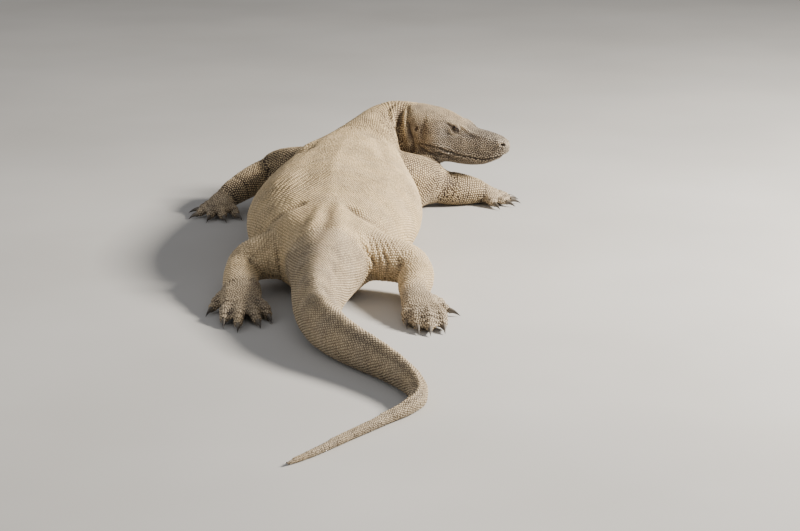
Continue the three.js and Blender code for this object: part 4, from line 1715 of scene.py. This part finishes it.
@dataclass
class Claw:
    """One curved claw, in place of the plain one of the frame."""

    node: str
    toe: BVHTree  # of the flesh that it grows from
    rings: int = 12
    sides: int = 14
    flatness: float = 0.78
    hidden_root: float = 3.0
    obj: bpy.types.Object | None = field(default=None, init=False)

    def build(self, node_object: bpy.types.Object) -> None:
        """Makes the claw along the frame's own claw.

        Args:
            node_object: The frame's claw.
        """
        points = np.array([v.co for v in node_object.data.vertices])
        gaps = np.array([self.toe.find_nearest(Vector(p))[3] for p in points])
        root = points[gaps < gaps.min() + 1.2 * MM].mean(0)
        reach = np.linalg.norm(points - root, axis=1)
        tip = points[reach.argmax()]
        radius = reach[gaps < gaps.min() + 1.2 * MM].mean()
        ahead = unit(tip - root)
        middle = points[np.abs((points - root) @ ahead / reach.max() - 0.45) < 0.2]
        bend = middle.mean(0) if len(middle) else 0.5 * (root + tip)
        bend = bend + 0.12 * reach.max() * UP
        start = root - ahead * self.hidden_root * MM
        bm = bmesh.new()
        along = []
        ring = bmesh.ops.create_circle(bm, segments=self.sides, radius=1.0)["verts"]
        edges = list(dict.fromkeys(e for v in ring for e in v.link_edges))
        path = (start, bend, tip)
        self._move_ring(ring, path, radius, 0.0)
        along += [0.0] * self.sides
        for step in range(1, self.rings + 1):
            share = step / self.rings
            made = bmesh.ops.extrude_edge_only(bm, edges=edges)["geom"]
            ring = [g for g in made if isinstance(g, bmesh.types.BMVert)]
            edges = [g for g in made if isinstance(g, bmesh.types.BMEdge)]
            self._move_ring(ring, path, radius, share, (step - 1) / self.rings)
            along += [share] * self.sides
        bmesh.ops.holes_fill(bm, edges=bm.edges, sides=0)
        put_in_order(bm)
        bmesh.ops.recalc_face_normals(bm, faces=bm.faces)
        mesh = mesh_of(bm, self.node)
        shade_smooth(mesh)
        put_attribute(mesh, "along", np.array(along))
        self.obj = place_in_scene(f"horn_{self.node}", mesh)

    def _frame(self, path: tuple[np.ndarray, ...], radius: float, t: float) -> Matrix:
        """Gives the ring's place, turn and size at one place along the claw, from 0 to 1."""
        start, bend, tip = path
        ahead = Vector(2 * (1 - t) * (bend - start) + 2 * t * (tip - bend)).normalized()
        side = ahead.cross(Vector((0, 0, 1))).normalized()
        above = side.cross(ahead)
        across = radius * max(0.04, (1 - t) ** 0.8 * (1 - 0.12 * t))
        wide, high = side * across * self.flatness, above * across
        matrix = Matrix((wide, high, ahead)).transposed().to_4x4()
        matrix.translation = Vector((1 - t) ** 2 * start + 2 * t * (1 - t) * bend + t * t * tip)
        return matrix

    def _move_ring(self, ring: list[bmesh.types.BMVert], path: tuple[np.ndarray, ...],
                   radius: float, t: float, last: float | None = None) -> None:
        """Moves a ring to its place on the claw.

        Args:
            ring: The ring's points.
            path: The start, the bend and the tip of the claw's middle line.
            radius: The claw's radius at its root, in metres.
            t: The ring's place along the middle line, from 0 to 1.
            last: The place where it lies now, or none for a flat ring one unit in radius.
        """
        matrix = self._frame(path, radius, t)
        back = Matrix() if last is None else self._frame(path, radius, last).inverted()
        for vertex in ring:
            vertex.co = matrix @ (back @ vertex.co)

    def dress(self, material: bpy.types.Material) -> None:
        """Finishes the claw and lets it stand for its node."""
        self.obj.data.materials.append(material)
        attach(self.obj, ROOT)
        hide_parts(self.node)


# ---- The stage --------------------------------------------------------------------------------


@dataclass(frozen=True)
class Lamp:
    """A soft rectangular lamp, aimed at the animal."""

    name: str
    at: tuple[float, float, float]
    size: float
    watts: float
    colour: Colour = (1.0, 1.0, 1.0)

    def build(self) -> None:
        """Hangs the lamp."""
        light = bpy.data.lights.new(self.name, "AREA")
        light.size = self.size
        light.energy = self.watts
        light.color = self.colour
        lamp = place_in_scene(self.name, light)
        lamp.location = self.at
        lamp.rotation_euler = (Vector((0.05, 0.0, 0.1)) - Vector(self.at)).to_track_quat(
            "-Z", "Y").to_euler()


@dataclass
class Stage:
    """A pale floor, soft light and the camera."""

    camera_at: tuple[float, float, float] = (0.4997, -5.3667, 1.3822)
    camera_ahead: tuple[float, float, float] = (-0.0624, 0.9649, -0.2549)
    view_degrees: float = 20.0
    floor_half: float = 7.0
    lamps: tuple[Lamp, ...] = (
        Lamp("key", (3.6, -0.1, 2.2), 0.8, 600, (1.0, 0.94, 0.85)),
        Lamp("fill", (-3.2, -2.6, 2.6), 3.0, 30, (0.95, 0.97, 1.0)),
        Lamp("front", (1.6, -4.6, 3.2), 2.5, 30),
    )

    def build(self) -> None:
        """Sets the stage up."""
        self._floor()
        self._sky()
        self._camera()
        for lamp in self.lamps:
            lamp.build()

    def _floor(self) -> None:
        """Lays the floor."""
        bm = bmesh.new()
        bmesh.ops.create_grid(bm, x_segments=1, y_segments=1, size=self.floor_half)
        mesh = mesh_of(bm, "floor")
        graph = Graph("floor")
        shade = graph.ranged(graph.noise(900, 3), 0.35, 0.65)
        graph.set(Base_Color=graph.blend(shade, (0.47, 0.46, 0.44), (0.53, 0.52, 0.50)),
                  Roughness=0.9)
        mesh.materials.append(graph.material)
        floor = place_in_scene("floor", mesh)

    @staticmethod
    def _sky() -> None:
        """Fills the room with pale light."""
        world = bpy.data.worlds.new("room")
        world.use_nodes = True
        background = world.node_tree.nodes["Background"]
        background.inputs["Color"].default_value = (0.97, 0.97, 1.0, 1.0)
        background.inputs["Strength"].default_value = 0.27
        bpy.context.scene.world = world

    def _camera(self) -> None:
        """Sets the camera up."""
        data = bpy.data.cameras.new("camera")
        data.lens_unit = "FOV"
        data.angle = math.radians(self.view_degrees)
        data.clip_end = 60
        camera = place_in_scene("camera", data)
        camera.location = self.camera_at
        camera.rotation_euler = Vector(self.camera_ahead).to_track_quat("-Z", "Y").to_euler()
        bpy.context.scene.camera = camera


# ---- Putting it together ----------------------------------------------------------------------


def main() -> None:
    """Builds and dresses the dragon on its stage."""
    logging.basicConfig(level=logging.INFO, format="%(name)s: %(message)s")
    Stage().build()
    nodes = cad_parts
    claws = sorted(n for n in nodes if "_claw_" in n)
    flesh = {n: o for n, o in nodes.items() if n not in claws and not n.startswith("eye")}
    atlas = Atlas(flesh)
    hide = Hide(atlas, flesh)
    surface = hide.build()
    log.info("hide: %d points, %d triangles", len(surface.co), len(surface.tris))
    tones = Tones(surface)
    hide.dress(HideFinish(), tones)
    coat = Coat(surface, atlas, Layout(surface, atlas), tones)
    coat.build(ScaleFinish())
    for node, side in (("eye_left", -1), ("eye_right", 1)):
        eye = Eye(node, side)
        eye.build()
        eye.dress(EyeFinish())
    horn = ClawFinish().material()
    for name in claws:
        owner = name.split("_claw_")[0] + ("_hand" if name.startswith("arm") else "_foot")
        toe = BVHTree.FromPolygons([v.co.copy() for v in nodes[owner].data.vertices],
                                   [tuple(f.vertices) for f in nodes[owner].data.polygons])
        claw = Claw(name, toe)
        claw.build(nodes[name])
        claw.dress(horn)
    log.info("%d claws", len(claws))


if __name__ == "__main__":
    main()
